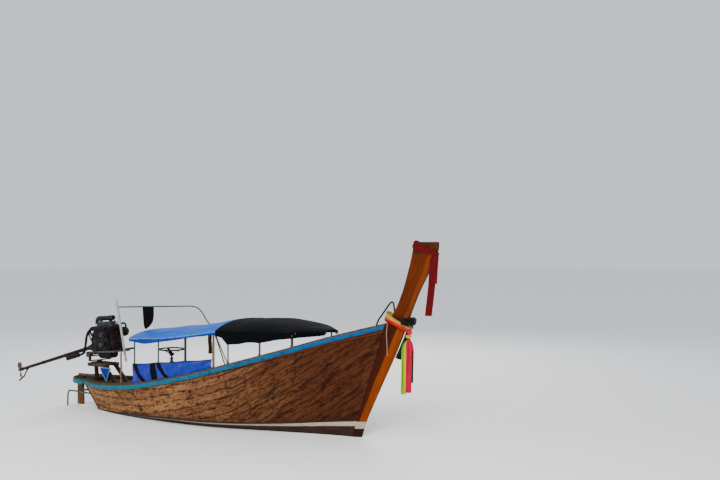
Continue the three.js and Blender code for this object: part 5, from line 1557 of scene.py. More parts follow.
def rail_half(x):
    """Half the width between the canopy's side rails."""
    last = POSTS[-1][-1]
    if x <= last:
        return sheer_at(x).y - POST_INSET
    return mid(sheer_at(last).y - POST_INSET, FORE_HALF, (x - last) / (FORE_END - last))


def bow_point(x, rise, half, across):
    """A point of a bent bow. across runs from -1, starboard, to 1, port."""
    return vec(x, half * across, rail_z(x) + rise * (1 - abs(across) ** 2.5))


def canopy_side(side):
    """One side of the frame: posts with collars and feet, and the rail."""
    def top(x):
        return vec(x, rail_half(x) * side, rail_z(x))

    def ground(x, up=CAP_TOP):
        return vec(x, rail_half(x) * side, sheer_at(x).z + up)

    shapes = [tube([ground(x), top(x)], POST, 14) for x in POSTS[side]]
    shapes.append(tube([top(mid(-1.5, FORE_END + 0.030, t)) for t in shares(60)], 0.0125, 14))
    if side < 0:
        shapes.append(tube([top(0.34), ground(0.575, 0.060)], 0.009, 12))
    for x in POSTS[side]:
        shapes.append(turned([(-0.014, 0.013), (-0.012, 0.017), (0.012, 0.017), (0.014, 0.013)],
                             top(x) - vec(0, 0, 0.030), "z", 14))
        shapes.append(turned([(0.0, 0.030), (0.004, 0.030), (0.006, 0.018), (0.030, 0.016), (0.032, 0.013)],
                             ground(x), "z", 16))
    return gathered(*shapes)


for side, word in SIDES:
    make(f"pipe_frame_{word}", canopy_side(side), PIPE_PAINT, "hull", "pipe_paint",
         replaces=(f"canopy_side_{word}",), sharp=50)
spans = [n / 12 - 1 for n in range(25)]
bows = [tube([bow_point(x, rise, rail_half(x) - 0.013, a) for a in spans], BOW, 12) for x, rise in BOWS]
ridge = [tube([bow_point(*a, 1, 0), bow_point(*b, 1, 0)], 0.009, 10) for a, b in zip(BOWS, BOWS[1:])]
make("bent_pipe_bows", gathered(*bows, *ridge), PIPE_PAINT, "hull", "pipe_paint", replaces=("canopy_bows",), sharp=50)
print("canopy frame", TRIANGLES["bent_pipe_bows"])

# %% [markdown]
# Cloth comes as sheets of real size. Its material shows a plain weave, creases darkened with painted
# shade, faded crowns and dust. Tarpaulin has a plastic gloss, canvas is matt, and ribbon has the soft
# sheen of satin.


# %% Cloth materials
def cloth_material(name, base, fade, rough, threads, sheen=0.0, coat=0.0, wrinkle=0.5, dust=0.25, folds=0.0):
    net, vector = new_material(name, "cloth", MATT)
    place = net.node("TexCoord").outputs["Object"]
    woven = net.group(WEAVE, {"Vector": vector, "Threads": threads})
    faded = net.noise(net.stretched(vector, (1.2, 3.0, 1.0)), 2.2, 6.0, 0.62)
    tone = net.mix(light(base), light(fade), net.spread(faded, 0.38, 0.72))
    tone = net.mix(tone, light(base), net.spread(woven["Tone"], 0.4, 0.6, 0.0, 0.35))
    up = net.axes(net.node("NewGeometry").outputs["Normal"])["Z"]
    # Painted shade: creases along the cloth are darkened toward deep blue, as much as folds gives.
    crease_shade = net.noise(net.stretched(vector, (0.9, 6.0, 1.0)), 2.0, 5.0, 0.6, 0.8)
    tone = net.tint(tone, "0a3f9e", net.spread(crease_shade, 0.53, 0.68, 0.0, folds))
    dirt = net.mask(STAIN, place, Scale=7.0, Amount=dust)
    dirt = net.times(dirt, net.spread(up, -0.2, 0.8, 0.25, 0.6))
    tone = net.tint(tone, "8b8373", net.times(dirt, dust * 3))
    rough = net.spread(faded, 0.3, 0.7, rough - 0.07, rough + 0.1)
    creases = net.noise(net.stretched(vector, (4.0, 9.0, 1.0)), 2.4, 5.0, 0.55, 0.8)
    height = net.maths("ADD", net.times(creases, wrinkle * 8), net.times(woven["Height"], 0.25))
    gloss = {"Sheen Weight": sheen, "Coat Weight": coat, "Coat Roughness": 0.3}
    return net.closed(tone, rough, height, 0.5, 0.0016, **gloss)


BLUE_TARP = cloth_material("blue_tarpaulin", "0078f0", "4cacff", 0.5, 320.0, 0.0, 0.1, 0.9, 0.06, 0.75)
BLUE_VALANCE = cloth_material("blue_valance", "08369c", "1458cc", 0.5, 320.0, 0.0, 0.1, 0.9, 0.06, 0.6)
NAVY_CANVAS = cloth_material("navy_canvas", "020408", "070b16", 0.9, 420.0, 0.0, 0.0, 0.2, 0.02)
GLOSS_SHEET = cloth_material("glossy_blue_sheet", "0034b0", "0a4cd4", 0.3, 260.0, 0.0, 0.3, 0.9, 0.04, 0.5)
PIPING = cloth_material("pale_piping", "9fc0e2", "c3d8ee", 0.6, 900.0)
BLACK_CLOTH = cloth_material("black_cloth", "080709", "131114", 0.85, 520.0, 0.1, 0.0, 0.5, 0.05)
PATTERNED = cloth_material("dark_printed_cloth", "160b0d", "571418", 0.8, 520.0, 0.1, 0.0, 0.5, 0.1)
STRAP = cloth_material("dark_strap", "0a0b0f", "15171d", 0.8, 900.0, 0.0, 0.0, 0.5, 0.05)


def run_of(points):
    """How far each point lies along the line through all of them."""
    runs = [0.0]
    for a, b in zip(points, points[1:]):
        runs.append(runs[-1] + (b - a).length)
    return runs


def cloth_from_rows(name, rows, thick, second=None):
    """An open sheet with a map in metres, then a thickness. Returns the piece and its flat size.
    Faces whose middle passes the test named second take the second material."""
    piece = mesh_object(name, row_grid(rows), fix_normals=False, merge=0)
    for face in piece.data.polygons if second else ():
        face.material_index = int(second(face.center))
    along = run_of([row[len(row) // 2] for row in rows])
    across = [run_of(row) for row in rows]
    write_map(piece, "cloth", [(u, v) for u, runs in zip(along, across) for v in runs])
    area = sum(p.area for p in piece.data.polygons)
    wall = piece.modifiers.new("cloth_thickness", "SOLIDIFY")
    wall.thickness = thick
    wall.offset = 0.0
    bpy.context.view_layer.update()
    apply_modifiers(piece)
    width = max(runs[-1] for runs in across)
    length = max(along[-1], area / width)
    return piece, (width, length), min(area, width * length)


def trimming(name, shapes, material, slot):
    """Hems, piping, bands and cords: small closed shapes with an empty map for the weave."""
    piece = mesh_object(name, gathered(*shapes))
    piece.data.uv_layers.new(name="cloth")
    return finished(piece, [material], "hull", slot, (), sharp=60)


# %% [markdown]
# Two cloths roof the boat. Each is one sheet that is stretched over the bows and turns down over
# the side rails as a valance. The aft valance is darker and has a pale piping line above it.

# %% The canopy cloths
AFT_CLOTH = [(-1.575, 0.105, 0.028, 0.001), (-1.450, 0.118, 0.042, 0.001), (-1.195, 0.134, 0.072, 0.001),
             (-0.865, 0.150, 0.050, 0.001), (-0.275, 0.146, 0.024, 0.001), (0.315, 0.160, 0.030, 0.001),
             (0.440, 0.142, 0.034, 0.001)]
FORE_CLOTH = [(0.380, 0.146, 0.060, 0.012), (0.452, 0.146, 0.074, 0.010), (0.500, 0.147, 0.084, 0.007),
              (0.600, 0.147, 0.195, 0.002), (0.820, 0.155, 0.178, 0.001), (1.165, 0.160, 0.156, 0.001),
              (1.450, 0.134, 0.100, 0.001), (1.690, 0.095, 0.072, 0.001), (1.960, 0.052, 0.038, 0.001),
              (2.048, 0.036, 0.020, 0.001)]
SKIRT = 7


def between_bows(x):
    """0 over a bow, 1 halfway to the next."""
    for (a, _), (b, _) in zip(BOWS, BOWS[1:]):
        if a <= x <= b:
            return sin(pi * (x - a) / (b - a))
    return 0.0


CLOTH_GAP = 0.0045


def canopy_rows(table, seed, sag, flutter):
    """A canopy cloth's rows: the near skirt, the arch over the bow, the far skirt."""
    random.seed(seed)
    phases = [random.uniform(0, 6.28) for _ in range(8)]
    first, last = table[0][0], table[-1][0]
    rows = []
    for t in shares(150):
        x = mid(first, last, t)
        _, rise, _, lift = smooth_at(table, x)
        valance = table_at(table, x)[2]
        half = rail_half(x) + 0.015 + max(lift, 0.001) + CLOTH_GAP
        loose = between_bows(x)
        wave = sin(23 * x + phases[0]) + 0.6 * sin(51 * x + phases[1]) + 0.3 * sin(97 * x + phases[5])
        sides = []
        for side in (-1, 1):
            skirt = []
            for m in range(SKIRT):
                drop = valance * (1 - m / SKIRT)
                out = flutter * wave * drop / max(valance, 0.01)
                hang = drop * (1 - 0.06 * loose - 0.05 * sin(9 * x + phases[2]))
                skirt.append(vec(x + 0.3 * out, side * (half + out), rail_z(x) - hang))
            sides.append(skirt)
        arch = []
        for m in range(45):
            across = -1 + m / 22
            p = bow_point(x, rise, half, across)
            edge = abs(across) ** 3
            ripple = 0.0015 * sin(31 * x + 4 * across + phases[3]) + 0.001 * sin(67 * x + phases[4])
            drop = sag * loose * (1 - 0.6 * across * across) - ripple * (0.2 + edge)
            arch.append(vec(p.x, p.y, p.z + BOW + lift + CLOTH_GAP - drop))
        rows.append(sides[0] + arch + sides[1][::-1])
    return rows


for name, node, table, material, slot, seed, sag in (
        ("aft_canopy_cloth", "canopy_cloth_aft", AFT_CLOTH, BLUE_TARP, "blue_canvas", 3, 0.009),
        ("fore_canopy_cloth", "canopy_cloth_fore", FORE_CLOTH, NAVY_CANVAS, "black_canvas", 5, 0.003)):
    aft = table is AFT_CLOTH
    rows = canopy_rows(table, seed, sag, 0.0045 if aft else 0.002)
    piece, flat, area = cloth_from_rows(name, rows, 0.0022, lambda p: aft and p.z < rail_z(p.x) + 0.004)
    finished(piece, [material, BLUE_VALANCE] if aft else [material], "hull", slot, (node,), sharp=60)
    runs = [[r[0] for r in rows], [r[-1] for r in rows], rows[0], rows[-1]]
    sewn = [trimming(name + "_hem", [tube(run, 0.0045, 8) for run in runs], BLUE_VALANCE if aft else STRAP, slot)]
    if aft:
        lines = [[r[SKIRT] for r in rows], [r[-1 - SKIRT] for r in rows]]
        sewn.append(trimming("valance_piping", [tube(run, 0.0048, 8) for run in lines], PIPING, slot))
    print(name, "flat", [round(v, 2) for v in flat])

# %% [markdown]
# Strips of cloth hang from many places. One function lays rows of points down a path: across is
# the way the strip's width lies, and the folds stand out of that. Another turns rows into a
# finished sheet and states its flat size.

# %% Hanging strips
THIN_CLOTH = 0.0012


def strip_rows(path, across, width, folds, depth, columns, steps, seed, gather=0.0):
    """Rows for a folded strip along a path. width is a number or a function of the share."""
    random.seed(seed)
    phase, sway = random.uniform(0, 6.28), random.uniform(0, 6.28)
    points = smooth_path(path, steps)
    across = Vector(across).normalized()
    rows = []
    for i, p in enumerate(points):
        t = i / (len(points) - 1)
        ahead = (points[min(i + 1, len(points) - 1)] - points[max(i - 1, 0)]).normalized()
        out = across.cross(ahead).normalized()
        wide = width(t) if callable(width) else width
        tight = 1 + gather * exp(-t * 5)
        row = []
        for j in range(columns + 1):
            u = j / columns - 0.5
            wave = sin(2 * pi * folds * u + phase + 0.7 * sin(4.2 * t + sway))
            lift = depth * tight * wave + 0.35 * depth * sin(9 * t + 5 * u + sway)
            row.append(p + across * (wide * u) + out * lift)
        rows.append(row)
    return rows


def hang(name, rows, material, slot, nodes, rests_on, held="hung", with_pieces=()):
    """Makes a sheet of thin cloth from its rows and prints its flat size."""
    piece, flat, area = cloth_from_rows(name, rows, THIN_CLOTH)
    finished(piece, [material], "hull", slot, nodes, sharp=70)
    print(name, "flat", [round(v, 3) for v in flat])
    return piece


def coil(foot, top, radius, rope, turns):
    """Rope wound close round a straight pole."""
    side, up = frames_along([foot, top])[0]
    path = []
    for n in range(turns * 12 + 1):
        a = 2 * pi * n / 12
        path.append(foot.lerp(top, n / (turns * 12)) + (side * cos(a) + up * sin(a)) * radius)
    return tube(path, rope, 7)


# %% [markdown]
# A glossy blue sheet closes the starboard side aft. It hangs outside the posts from a dark rope,
# bellies out between them, and dark strips lie on it.

# %% The side sheet
def sheet_point(x, down, out=0.0):
    """A point of the side sheet. down runs from 0 at its rope to 1 at its hem."""
    top, low = 0.930 + (x + 1.490) * 0.11, sheer_at(x).z + 0.024
    belly = 0.012 * between_bows(x) * sin(pi * down)
    folds = 0.0045 * sin(19 * x + 3.0 * down) + 0.003 * sin(41 * x - 5.0 * down)
    folds += 0.004 * sin(9 * x + 7.5 * down + 1.0)
    folds *= sin(pi * min(max(down, 0.04), 1)) ** 0.6
    sag = 0.010 * between_bows(x) * (1 - down)
    return vec(x, -(rail_half(x) + 0.0172 + belly + folds + out), mid(top, low, down) - sag)


SHEET_START, SHEET_END = -1.488, 0.292
rows = [[sheet_point(mid(SHEET_START, SHEET_END, t), down) for down in shares(18)] for t in shares(150)]
sheet, flat, area = cloth_from_rows("glossy_side_sheet", rows, THIN_CLOTH)
finished(sheet, [GLOSS_SHEET], "hull", "blue_sheet", ("side_sheet",), sharp=70)
BANDS = [(-1.415, -1.190, 0.100), (-0.985, -0.935, 0.130), (-0.850, -0.640, 0.085)]
shapes = []
for start, end, wide in BANDS:
    rows = []
    for down in shares(24):
        x = mid(start, end, down ** 1.5)
        rows.append([sheet_point(x + wide * (u - 0.5), down, 0.0022) for u in shares(6)])
    outer = [[p + vec(0, -0.0014, 0) for p in row] for row in rows]
    shapes.append(row_grid([r + o[::-1] for r, o in zip(rows, outer)], around=True))
bands = trimming("dark_bands_on_sheet", shapes, STRAP, "black_cloth")
edge = [sheet_point(mid(SHEET_START, SHEET_END, t), 0.0, 0.001) for t in shares(90)]
make("sheet_top_rope", tube([p + vec(0, 0, 0.004) for p in edge], 0.0075, 10), RUBBER, "hull", "black_cloth")
print("side sheet flat", [round(v, 3) for v in flat])

# %% [markdown]
# Two small cloths hang alone: a dark printed one, gathered in folds at the post between the
# canopies, and a blue triangle with a pale border on the side of the engine's bed.

# %% The dark printed cloth and the blue triangle
y = -(rail_half(0.240) - 0.005)
top = vec(0.246, y, rail_z(0.240) + 0.002)
rows = strip_rows([top, top - vec(0.002, 0, 0.110), top - vec(-0.002, 0, 0.220),
                   top - vec(0.003, 0, 0.328)], (1, 0, 0), 0.078, 3.0, 0.0055, 30, 8, 11)
hang("printed_cloth", rows, PATTERNED, "black_cloth", ("hanging_cloth",), ["canopy_side_starboard"], "gathered")

rows = []
for t in shares(16):
    half = mid(0.128, 0.004, t)
    rows.append([vec(-2.590 + half * u + 0.02 * t, -0.196 + 0.006 * sin(3 * u + 5 * t), mid(0.735, 0.500, t))
                 for u in (m / 5 - 1 for m in range(11))])
edges = ([r[0] for r in rows], [r[-1] for r in rows], rows[0])
border = trimming("triangle_border", [tube(edge, 0.008, 8) for edge in edges], PIPING, "blue_canvas")
hang("blue_triangle_cloth", rows, BLUE_VALANCE, "blue_canvas", (), ["engine_bed"], with_pieces=[border])

# %% [markdown]
# A slender arch of pipe stands over the helm. Its near leg is a pale rod lashed to a short pole
# on the gunwale, and a thin dark pipe curves from it across the boat. A black pennant hangs there.

# %% The aft arch
PALE_ROD = metal_material("pale_rod", "e8e8ea", 0.1, 0.5, "5b5048", 0.3, 0.4, "b8b6b2")
ARCH_PIPE = metal_material("dark_teal_pipe", "2f5560", 0.2, 0.5, "2c1d14", 0.3, 0.5, "708286")
foot = sheer_at(-1.815)
lash = -foot.y + 0.074
rod_low, rod_top = vec(-1.725, lash, 0.945), vec(-1.952, lash, 2.000)
pole_low = vec(-1.815, -foot.y + POST_INSET, foot.z + CAP_TOP)
pole_top = vec(-1.815, -foot.y + POST_INSET, 1.125)


def pole_radius(t):
    return 0.0168 - 0.0025 * t + 0.0008 * sin(t * 37) + 0.0006 * sin(t * 91)


pole = [pole_low.lerp(pole_top, n / 30) + vec(0.002 * sin(n * 0.5), 0, 0) for n in range(31)]
make("lashed_pole", tube(pole, 0.017, 14, radii=pole_radius), POLE_WOOD, "hull", "pale_wood", replaces=("arch_pole",))
shapes = [tube([rod_low.lerp(rod_top, t) for t in shares(12)], 0.0185, 16),
          tube([rod_top - (rod_top - rod_low) * 0.004, rod_top + (rod_top - rod_low) * 0.002], 0.0195, 16)]
make("pale_rod", gathered(*shapes), PALE_ROD, "hull", "pipe_paint", replaces=("aft_arch",), bevel=0.001)
far = sheer_at(-0.640)
CROSS = [(-1.928, lash, 1.872), (-1.700, -0.160, 1.862), (-1.420, 0.380, 1.846), (-1.290, 0.610, 1.838),
         (-1.205, 0.700, 1.800), (-1.130, 0.745, 1.705), (-1.070, 0.760, 1.600), (-0.900, 0.772, 1.380),
         (-0.640, far.y - 0.006, far.z + CAP_TOP)]
make("arch_pipe", tube(CROSS, 0.0108, 14, 12), ARCH_PIPE, "hull", "pipe_paint")
axis = rod_top - rod_low
shapes = []
for t in (0.045, 0.135):
    middle = rod_low + axis * t
    shapes.append(coil(middle - axis * 0.014, middle + axis * 0.014, 0.0162, 0.0038, 4))
middle = Vector(CROSS[0])
shapes.append(coil(middle - axis * 0.020, middle + axis * 0.014, 0.0160, 0.0036, 5))
ROPE = cloth_material("tan_rope", "a68a63", "c8b08a", 0.85, 900.0, 0.1, 0.0, 0.8, 0.35)
trimming("arch_lashings", shapes, ROPE, "pale_wood")

PENNANT = [(-1.858, -1.712, -0.189, -1.617, 0.001), (-1.700, -1.709, -0.182, -1.618, -0.002),
           (-1.600, -1.706, -0.174, -1.628, -0.022), (-1.530, -1.702, -0.164, -1.653, -0.070),
           (-1.478, -1.695, -0.150, -1.685, -0.130)]
rows = []
for t in shares(32):
    z = mid(1.858, 1.480, t)
    _, x0, y0, x1, y1 = table_at(PENNANT, -z)
    rows.append([vec(mid(x0, x1, u) + 0.004 + 0.004 * sin(11 * u + 4 * t), mid(y0, y1, u), z - 0.012 * u * t)
                 for u in shares(14)])
hang("black_pennant", rows, BLACK_CLOTH, "black_cloth", ("pennant",), ["aft_arch"])

# %% [markdown]
# Rope is wound round the post at the fore canopy's edge until it looks thick and tan. Short ties
# hold the cloths' corners to the rails, with their loops showing at the fore end.

# %% Ropes and ties on the canopy
post = vec(0.315, -rail_half(0.315), 0)
shapes = [coil(post + vec(0, 0, 1.005), post + vec(0, 0, 1.405), 0.0172, 0.0052, 44)]
for x, gap in ((-1.480, 0.016), (-0.900, 0.012), (-0.310, 0.012), (0.640, 0.012), (1.200, 0.012), (1.730, 0.012)):
    side = vec(x, -rail_half(x), rail_z(x))
    shapes.append(coil(side - vec(gap, 0, 0), side + vec(gap, 0, 0), 0.0165, 0.0028, 3))
for side in (-1, 1):
    for x, drop in ((1.985, 0.050), (2.035, 0.065)):
        start = vec(x, side * (rail_half(x) - 0.004), rail_z(x) + 0.010)
        loop = [start, start + vec(0.020, side * -0.004, -0.024), start + vec(0.014, side * 0.003, -drop),
                start + vec(-0.012, side * 0.002, -drop * 0.9), start + vec(-0.014, 0, -0.016)]
        shapes.append(tube(loop, 0.0032, 8, 6))
trimming("canopy_ropes", shapes, ROPE, "pale_wood")
print("ropes", TRIANGLES["canopy_ropes"])

# %% [markdown]
# The prow is dressed for luck. Bright sashes are wound round the stem, tied in front, and their
# long tails hang free. A red band crosses the prow's head, and its two ends fall in front.

# %% Ribbon colours
def satin(name, base, fade):
    return cloth_material(name, base, fade, 0.55, 260.0, 0.0, 0.0, 0.7, 0.04)


YELLOW, ORANGE = satin("yellow_sash", "f6dc20", "fcee70"), satin("orange_sash", "ec4430", "fa8474")
RED, PINK = satin("red_sash", "a40018", "cc102c"), satin("pink_sash", "f01468", "f85c98")
LIME, GREEN = satin("lime_sash", "92ea20", "c8fa58"), satin("green_sash", "0c4a20", "1c6a34")
CRIMSON, CREAM = satin("crimson_sash", "dc0058", "f40a68"), satin("cream_sash", "b89c88", "ccb4a0")
DEEP_RED = satin("deep_red_band", "620018", "800024")
WOUND = Matrix.Translation((3.236, 0, 1.782)) @ Matrix.Rotation(radians(24), 4, "Y")


WOUND_STEPS = 110


def wound_rows(place, long_half, side_half, low, high, folds, seed, out, square):
    """A band wound round an oval. low and high say how the strip's edges run round the turn, and
    square is 2 for a true oval and more for one with corners."""
    random.seed(seed)
    phase = random.uniform(0, 6.28)
    rows = []
    for n in range(WOUND_STEPS + 1):
        a = 0.12 + (2 * pi - 0.02) * n / WOUND_STEPS
        c, s = cos(a), sin(a)
        grow = (abs(c) ** square + abs(s) ** square) ** (-1 / square)
        row = []
        for v in shares(16):
            pleat = 0.0045 * sin(2 * pi * folds * v + phase + 1.6 * sin(2 * a))
            reach = out + pleat + 0.004 * sin(pi * v)
            z = mid(low(a), high(a), v) + 0.003 * sin(3 * a + phase)
            row.append(place @ vec((long_half + reach) * c * grow, (side_half + reach) * s * grow, z))
        rows.append(row)
    return rows


def slanting(level, slant):
    """An edge whose height changes by slant from the back to the front of the turn."""
    return lambda a: level + slant * cos(a)


SASHES = [
    ("red_wound_sash", RED, slanting(-0.058, 0), slanting(-0.012, 0.010), 2.6, 0.000),
    ("orange_wound_sash", ORANGE, slanting(-0.034, -0.012), slanting(0.014, -0.010), 2.3, 0.004),
    ("yellow_wound_sash", YELLOW, slanting(0.006, -0.004), slanting(0.046, -0.020), 2.2, 0.008),
    ("cream_wound_sash", CREAM, slanting(0.030, -0.018), slanting(0.054, -0.022), 1.2, 0.012),
]
for i, (name, colour, low, high, folds, out) in enumerate(SASHES):
    rows = wound_rows(WOUND, 0.226, 0.098, low, high, folds, 20 + i, out, 2.3)
    hang(name, rows, colour, "ribbon_cloth", ("prow_sashes",) if i == 0 else (), ["stem_and_prow"], "gathered")

# %% [markdown]
# In front the sashes meet in a knot. Below it hang the tails: lime, yellow, crimson and green,
# each with a lengthwise fold. A black cloth hangs beside them against the stem.

# %% The knot and the tails
def bunch(centre, size, seed):
    """A crumpled loop of cloth, as a closed strip that bulges and folds."""
    random.seed(seed)
    phase = [random.uniform(0, 6.28) for _ in range(3)]
    rows = []
    for a in angles(32) + [2 * pi]:
        row = []
        for m in range(9):
            v = m / 8 - 0.5
            r = 1 - 0.9 * v * v * 2 + 0.16 * sin(5 * a + phase[0]) + 0.1 * sin(9 * v + 2 * a + phase[1])
            row.append(Vector(centre) + vec(size[0] * r * cos(a), size[1] * r * sin(a),
                                                size[2] * (v * 2 + 0.10 * sin(3 * a + phase[2]))))
        rows.append(row)
    return rows


for name, colour, centre, size, seed in (
        ("pink_knot", PINK, (3.424, -0.012, 1.640), (0.034, 0.034, 0.030), 31),
        ("yellow_knot", YELLOW, (3.408, -0.016, 1.580), (0.036, 0.036, 0.026), 32),
        ("black_knot", BLACK_CLOTH, (3.402, -0.012, 1.545), (0.028, 0.028, 0.016), 33),
        ("black_cloth_wrap", BLACK_CLOTH, (3.432, -0.006, 1.802), (0.088, 0.105, 0.056), 34)):
    hang(name, bunch(centre, size, seed), colour, "ribbon_cloth", (), ["stem_and_prow"], "gathered")

ACROSS = (0.80, 0.60, 0)
KNOT = vec(3.408, -0.012, 1.535)


def tail_rows(shift, ahead, length, width, folds, seed):
    """A tail from the knot: it spreads to its own place within a hand's breadth, then hangs."""
    across = Vector(ACROSS).normalized()
    spread = across * shift + vec(across.y, -across.x, 0) * ahead
    drift = vec(-0.012, 0.0, 0)
    path = [KNOT + spread * 0.25, KNOT + spread * 0.7 - vec(0, 0, 0.06), KNOT + spread - vec(0, 0, 0.16)]
    for n in range(1, 6):
        path.append(KNOT + spread + drift * (n / 5) - vec(0, 0, mid(0.16, length, n / 5)))
    return strip_rows(path, ACROSS, lambda t: width * min(0.45 + 3.2 * t, 1), folds, 0.010, 18, 7, seed, 0.4)


for name, colour, shift, ahead, length, width, folds, seed in (
        ("lime_tail", LIME, -0.070, -0.010, 0.815, 0.075, 1.2, 41),
        ("yellow_tail", YELLOW, -0.040, 0.010, 0.790, 0.060, 0.9, 42),
        ("green_tail", GREEN, 0.052, -0.022, 0.650, 0.060, 1.1, 43),
        ("crimson_tail", CRIMSON, 0.004, 0.026, 0.790, 0.092, 1.6, 44),
        ("pink_tail", PINK, 0.040, 0.022, 0.150, 0.050, 1.2, 45)):
    rows = tail_rows(shift, ahead, length, width, folds, seed)
    hang(name, rows, colour, "ribbon_cloth", ("sash_tails",) if name == "lime_tail" else (), ["stem_and_prow"])

rows = strip_rows([(3.392, -0.006, 1.655), (3.352, -0.010, 1.520), (3.300, -0.012, 1.380), (3.236, -0.010, 1.235)],
                  (0.93, 0, -0.30), lambda t: 0.060 + 0.070 * t, 1.4, 0.010, 20, 10, 46)
hang("black_stem_cloth", rows, BLACK_CLOTH, "black_cloth", (), ["stem_and_prow"])
rows = strip_rows([(3.112, -0.128, 1.775), (3.108, -0.150, 1.640), (3.116, -0.152, 1.460), (3.122, -0.152, 1.290)],
                  (1, 0.2, 0), 0.012, 0.4, 0.002, 4, 8, 47)
hang("cream_streamer", rows, CREAM, "ribbon_cloth", (), ["stem_and_prow"])

# %% [markdown]
# The head band runs down from the prow's back to its front. It is broad behind, where the cloth
# is spread, and narrow in front, where it is pulled tight and knotted.

# %% The head band and its ends
HEAD = Matrix.Translation((3.682, 0, 2.893)) @ Matrix.Rotation(radians(20.5), 4, "Y")
rows = wound_rows(HEAD, 0.196, 0.0435, lambda a: -0.034 - 0.030 * (1 - cos(a)) / 2,
                  lambda a: 0.030 + 0.030 * (1 - cos(a)) / 2, 2.4, 51, 0.0075, 5.0)
hang("red_head_band", rows, DEEP_RED, "ribbon_cloth", ("prow_head_band",), ["stem_and_prow"], "gathered")
hang("head_knot", bunch((3.880, -0.030, 2.815), (0.030, 0.030, 0.030), 52), DEEP_RED, "ribbon_cloth", (),
     ["stem_and_prow"], "gathered")
rows = strip_rows([(3.872, -0.036, 2.815), (3.852, -0.052, 2.740), (3.838, -0.056, 2.600), (3.826, -0.056, 2.380)],
                  (1, 0.12, 0), lambda t: 0.070 + 0.062 * min(t * 3, 1), 1.3, 0.007, 20, 12, 53, 0.5)
hang("short_red_ribbon", rows, DEEP_RED, "ribbon_cloth", ("prow_ribbon",), ["stem_and_prow"])
rows = strip_rows([(3.868, -0.040, 2.812), (3.840, -0.050, 2.650), (3.812, -0.051, 2.400), (3.782, -0.051, 2.150),
                   (3.750, -0.051, 1.905)],
                  (1, 0.10, 0), lambda t: 0.062 + 0.048 * min(t * 3, 1), 1.1, 0.007, 18, 12, 54)
hang("long_red_ribbon", rows, DEEP_RED, "ribbon_cloth", (), ["stem_and_prow"])

# %% [markdown]
# A bent bar of black iron stands on the near gunwale behind the prow and leans against the stem.
# It is one round bar, so its centre line is swept by a circle.

# %% The bent iron hoop
HOOP = [(2.890, -0.070, sheer_at(2.890).z + 0.024), (2.925, -0.059, 1.820), (2.960, -0.048, 1.872),
        (3.025, -0.028, 1.969), (3.090, -0.008, 2.064), (3.124, 0, 2.088), (3.148, 0, 2.064), (3.160, 0, 1.990),
        (3.170, 0, 1.930)]
make("bent_iron_hoop", tube(HOOP, 0.0138, 16, 10), BLACK_IRON, "hull", "black_iron", replaces=("bow_hoop",))
print("bow dressing done")

# %% [markdown]
# The helm is a car's steering wheel, laid flat on a pipe column that rises from a boarded box.
# Three dished spokes carry the rim, which has finger hollows under it.

# %% The helm
HELM = vec(-0.990, -0.250, 1.085)
WHEEL_BLACK = metal_material("wheel_plastic", "17181a", 0.0, 0.42, "4a4036", 0.25, 0.5, "2e2f31")
BOX_WOOD = timber_material("helm_box_wood", "6a4a31", "38251a", 0.7, 0.45, 0.6, "z")
shapes = []
for side in (-1, 1):
    for n in range(3):
        y = HELM.y + side * 0.058
        x = HELM.x - 0.068 + 0.0455 * n
        shapes.append(block((x, y - 0.0085, 0.0305), (x + 0.0445, y + 0.0085, 0.505)))
    x = HELM.x + side * 0.0605
    shapes.append(block((x - 0.0085, HELM.y - 0.049, 0.0305), (x + 0.0085, HELM.y + 0.049, 0.505)))
shapes.append(block((HELM.x - 0.074, HELM.y - 0.070, 0.505), (HELM.x + 0.074, HELM.y + 0.070, 0.522)))
make("helm_box", gathered(*shapes), BOX_WOOD, "hull", "dark_wood", replaces=("helm_column",), bevel=0.002)
shapes = [turned([(0.520, 0.052), (0.528, 0.052), (0.531, 0.030), (0.560, 0.027), (0.562, 0.0235), (1.000, 0.0235),
                  (1.002, 0.029), (1.028, 0.029), (1.030, 0.018)], (HELM.x, HELM.y, 0), "z", 28),
          turned([(0.925, 0.030), (0.928, 0.034), (0.962, 0.034), (0.965, 0.030)], (HELM.x, HELM.y, 0), "z", 24),
          tube([HELM + vec(0.030, 0, -0.140), HELM + vec(0.120, 0, -0.137)], 0.0075, 12)]
shapes += screw_ring((HELM.x, HELM.y, 0), 0.041, [(0.528, 0.007), (0.534, 0.007)], 4, "z", start=0.5)
make("helm_column_pipe", gathered(*shapes), PIPE_PAINT, "hull", "pipe_paint", bevel=0.0008)
knob = turned([(0.112, 0.008), (0.118, 0.013), (0.128, 0.0165), (0.138, 0.016), (0.147, 0.010), (0.149, 0.004)],
              HELM + vec(0, 0, -0.137), "x", 20)
make("throttle_knob", knob, WHEEL_BLACK, "hull", "wheel_plastic")

rim = []
for a in angles(160):
    row = []
    for b in angles(20):
        under = max(-sin(b), 0) * (0.5 + 0.5 * cos(a * 40)) * 0.0018
        r = 0.0139 - under
        reach = 0.211 + r * cos(b)
        row.append(HELM + vec(reach * cos(a), reach * sin(a), 0.085 + r * sin(b)))
    rim.append(row)
shapes = [row_grid(rim + rim[:1], around=True, caps=False)]
for n in range(3):
    a = radians(120 * n + 30)
    away, side = vec(cos(a), sin(a), 0), vec(-sin(a), cos(a), 0)
    rows = []
    for t in shares(12):
        spot = HELM + away * mid(0.020, 0.205, t) + vec(0, 0, mid(0.004, 0.084, t ** 0.8))
        wide, thick = mid(0.036, 0.021, t), mid(0.006, 0.004, t)
        rows.append([spot + side * (wide * cos(b)) + vec(0, 0, thick * sin(b)) for b in angles(14)])
    shapes.append(row_grid(rows, around=True))
shapes.append(turned([(-0.054, 0.0158), (-0.025, 0.0158), (-0.024, 0.034), (-0.020, 0.041), (0.006, 0.042),
                      (0.014, 0.040), (0.018, 0.034), (0.020, 0.031), (0.024, 0.030), (0.026, 0.024)], HELM, "z", 36))
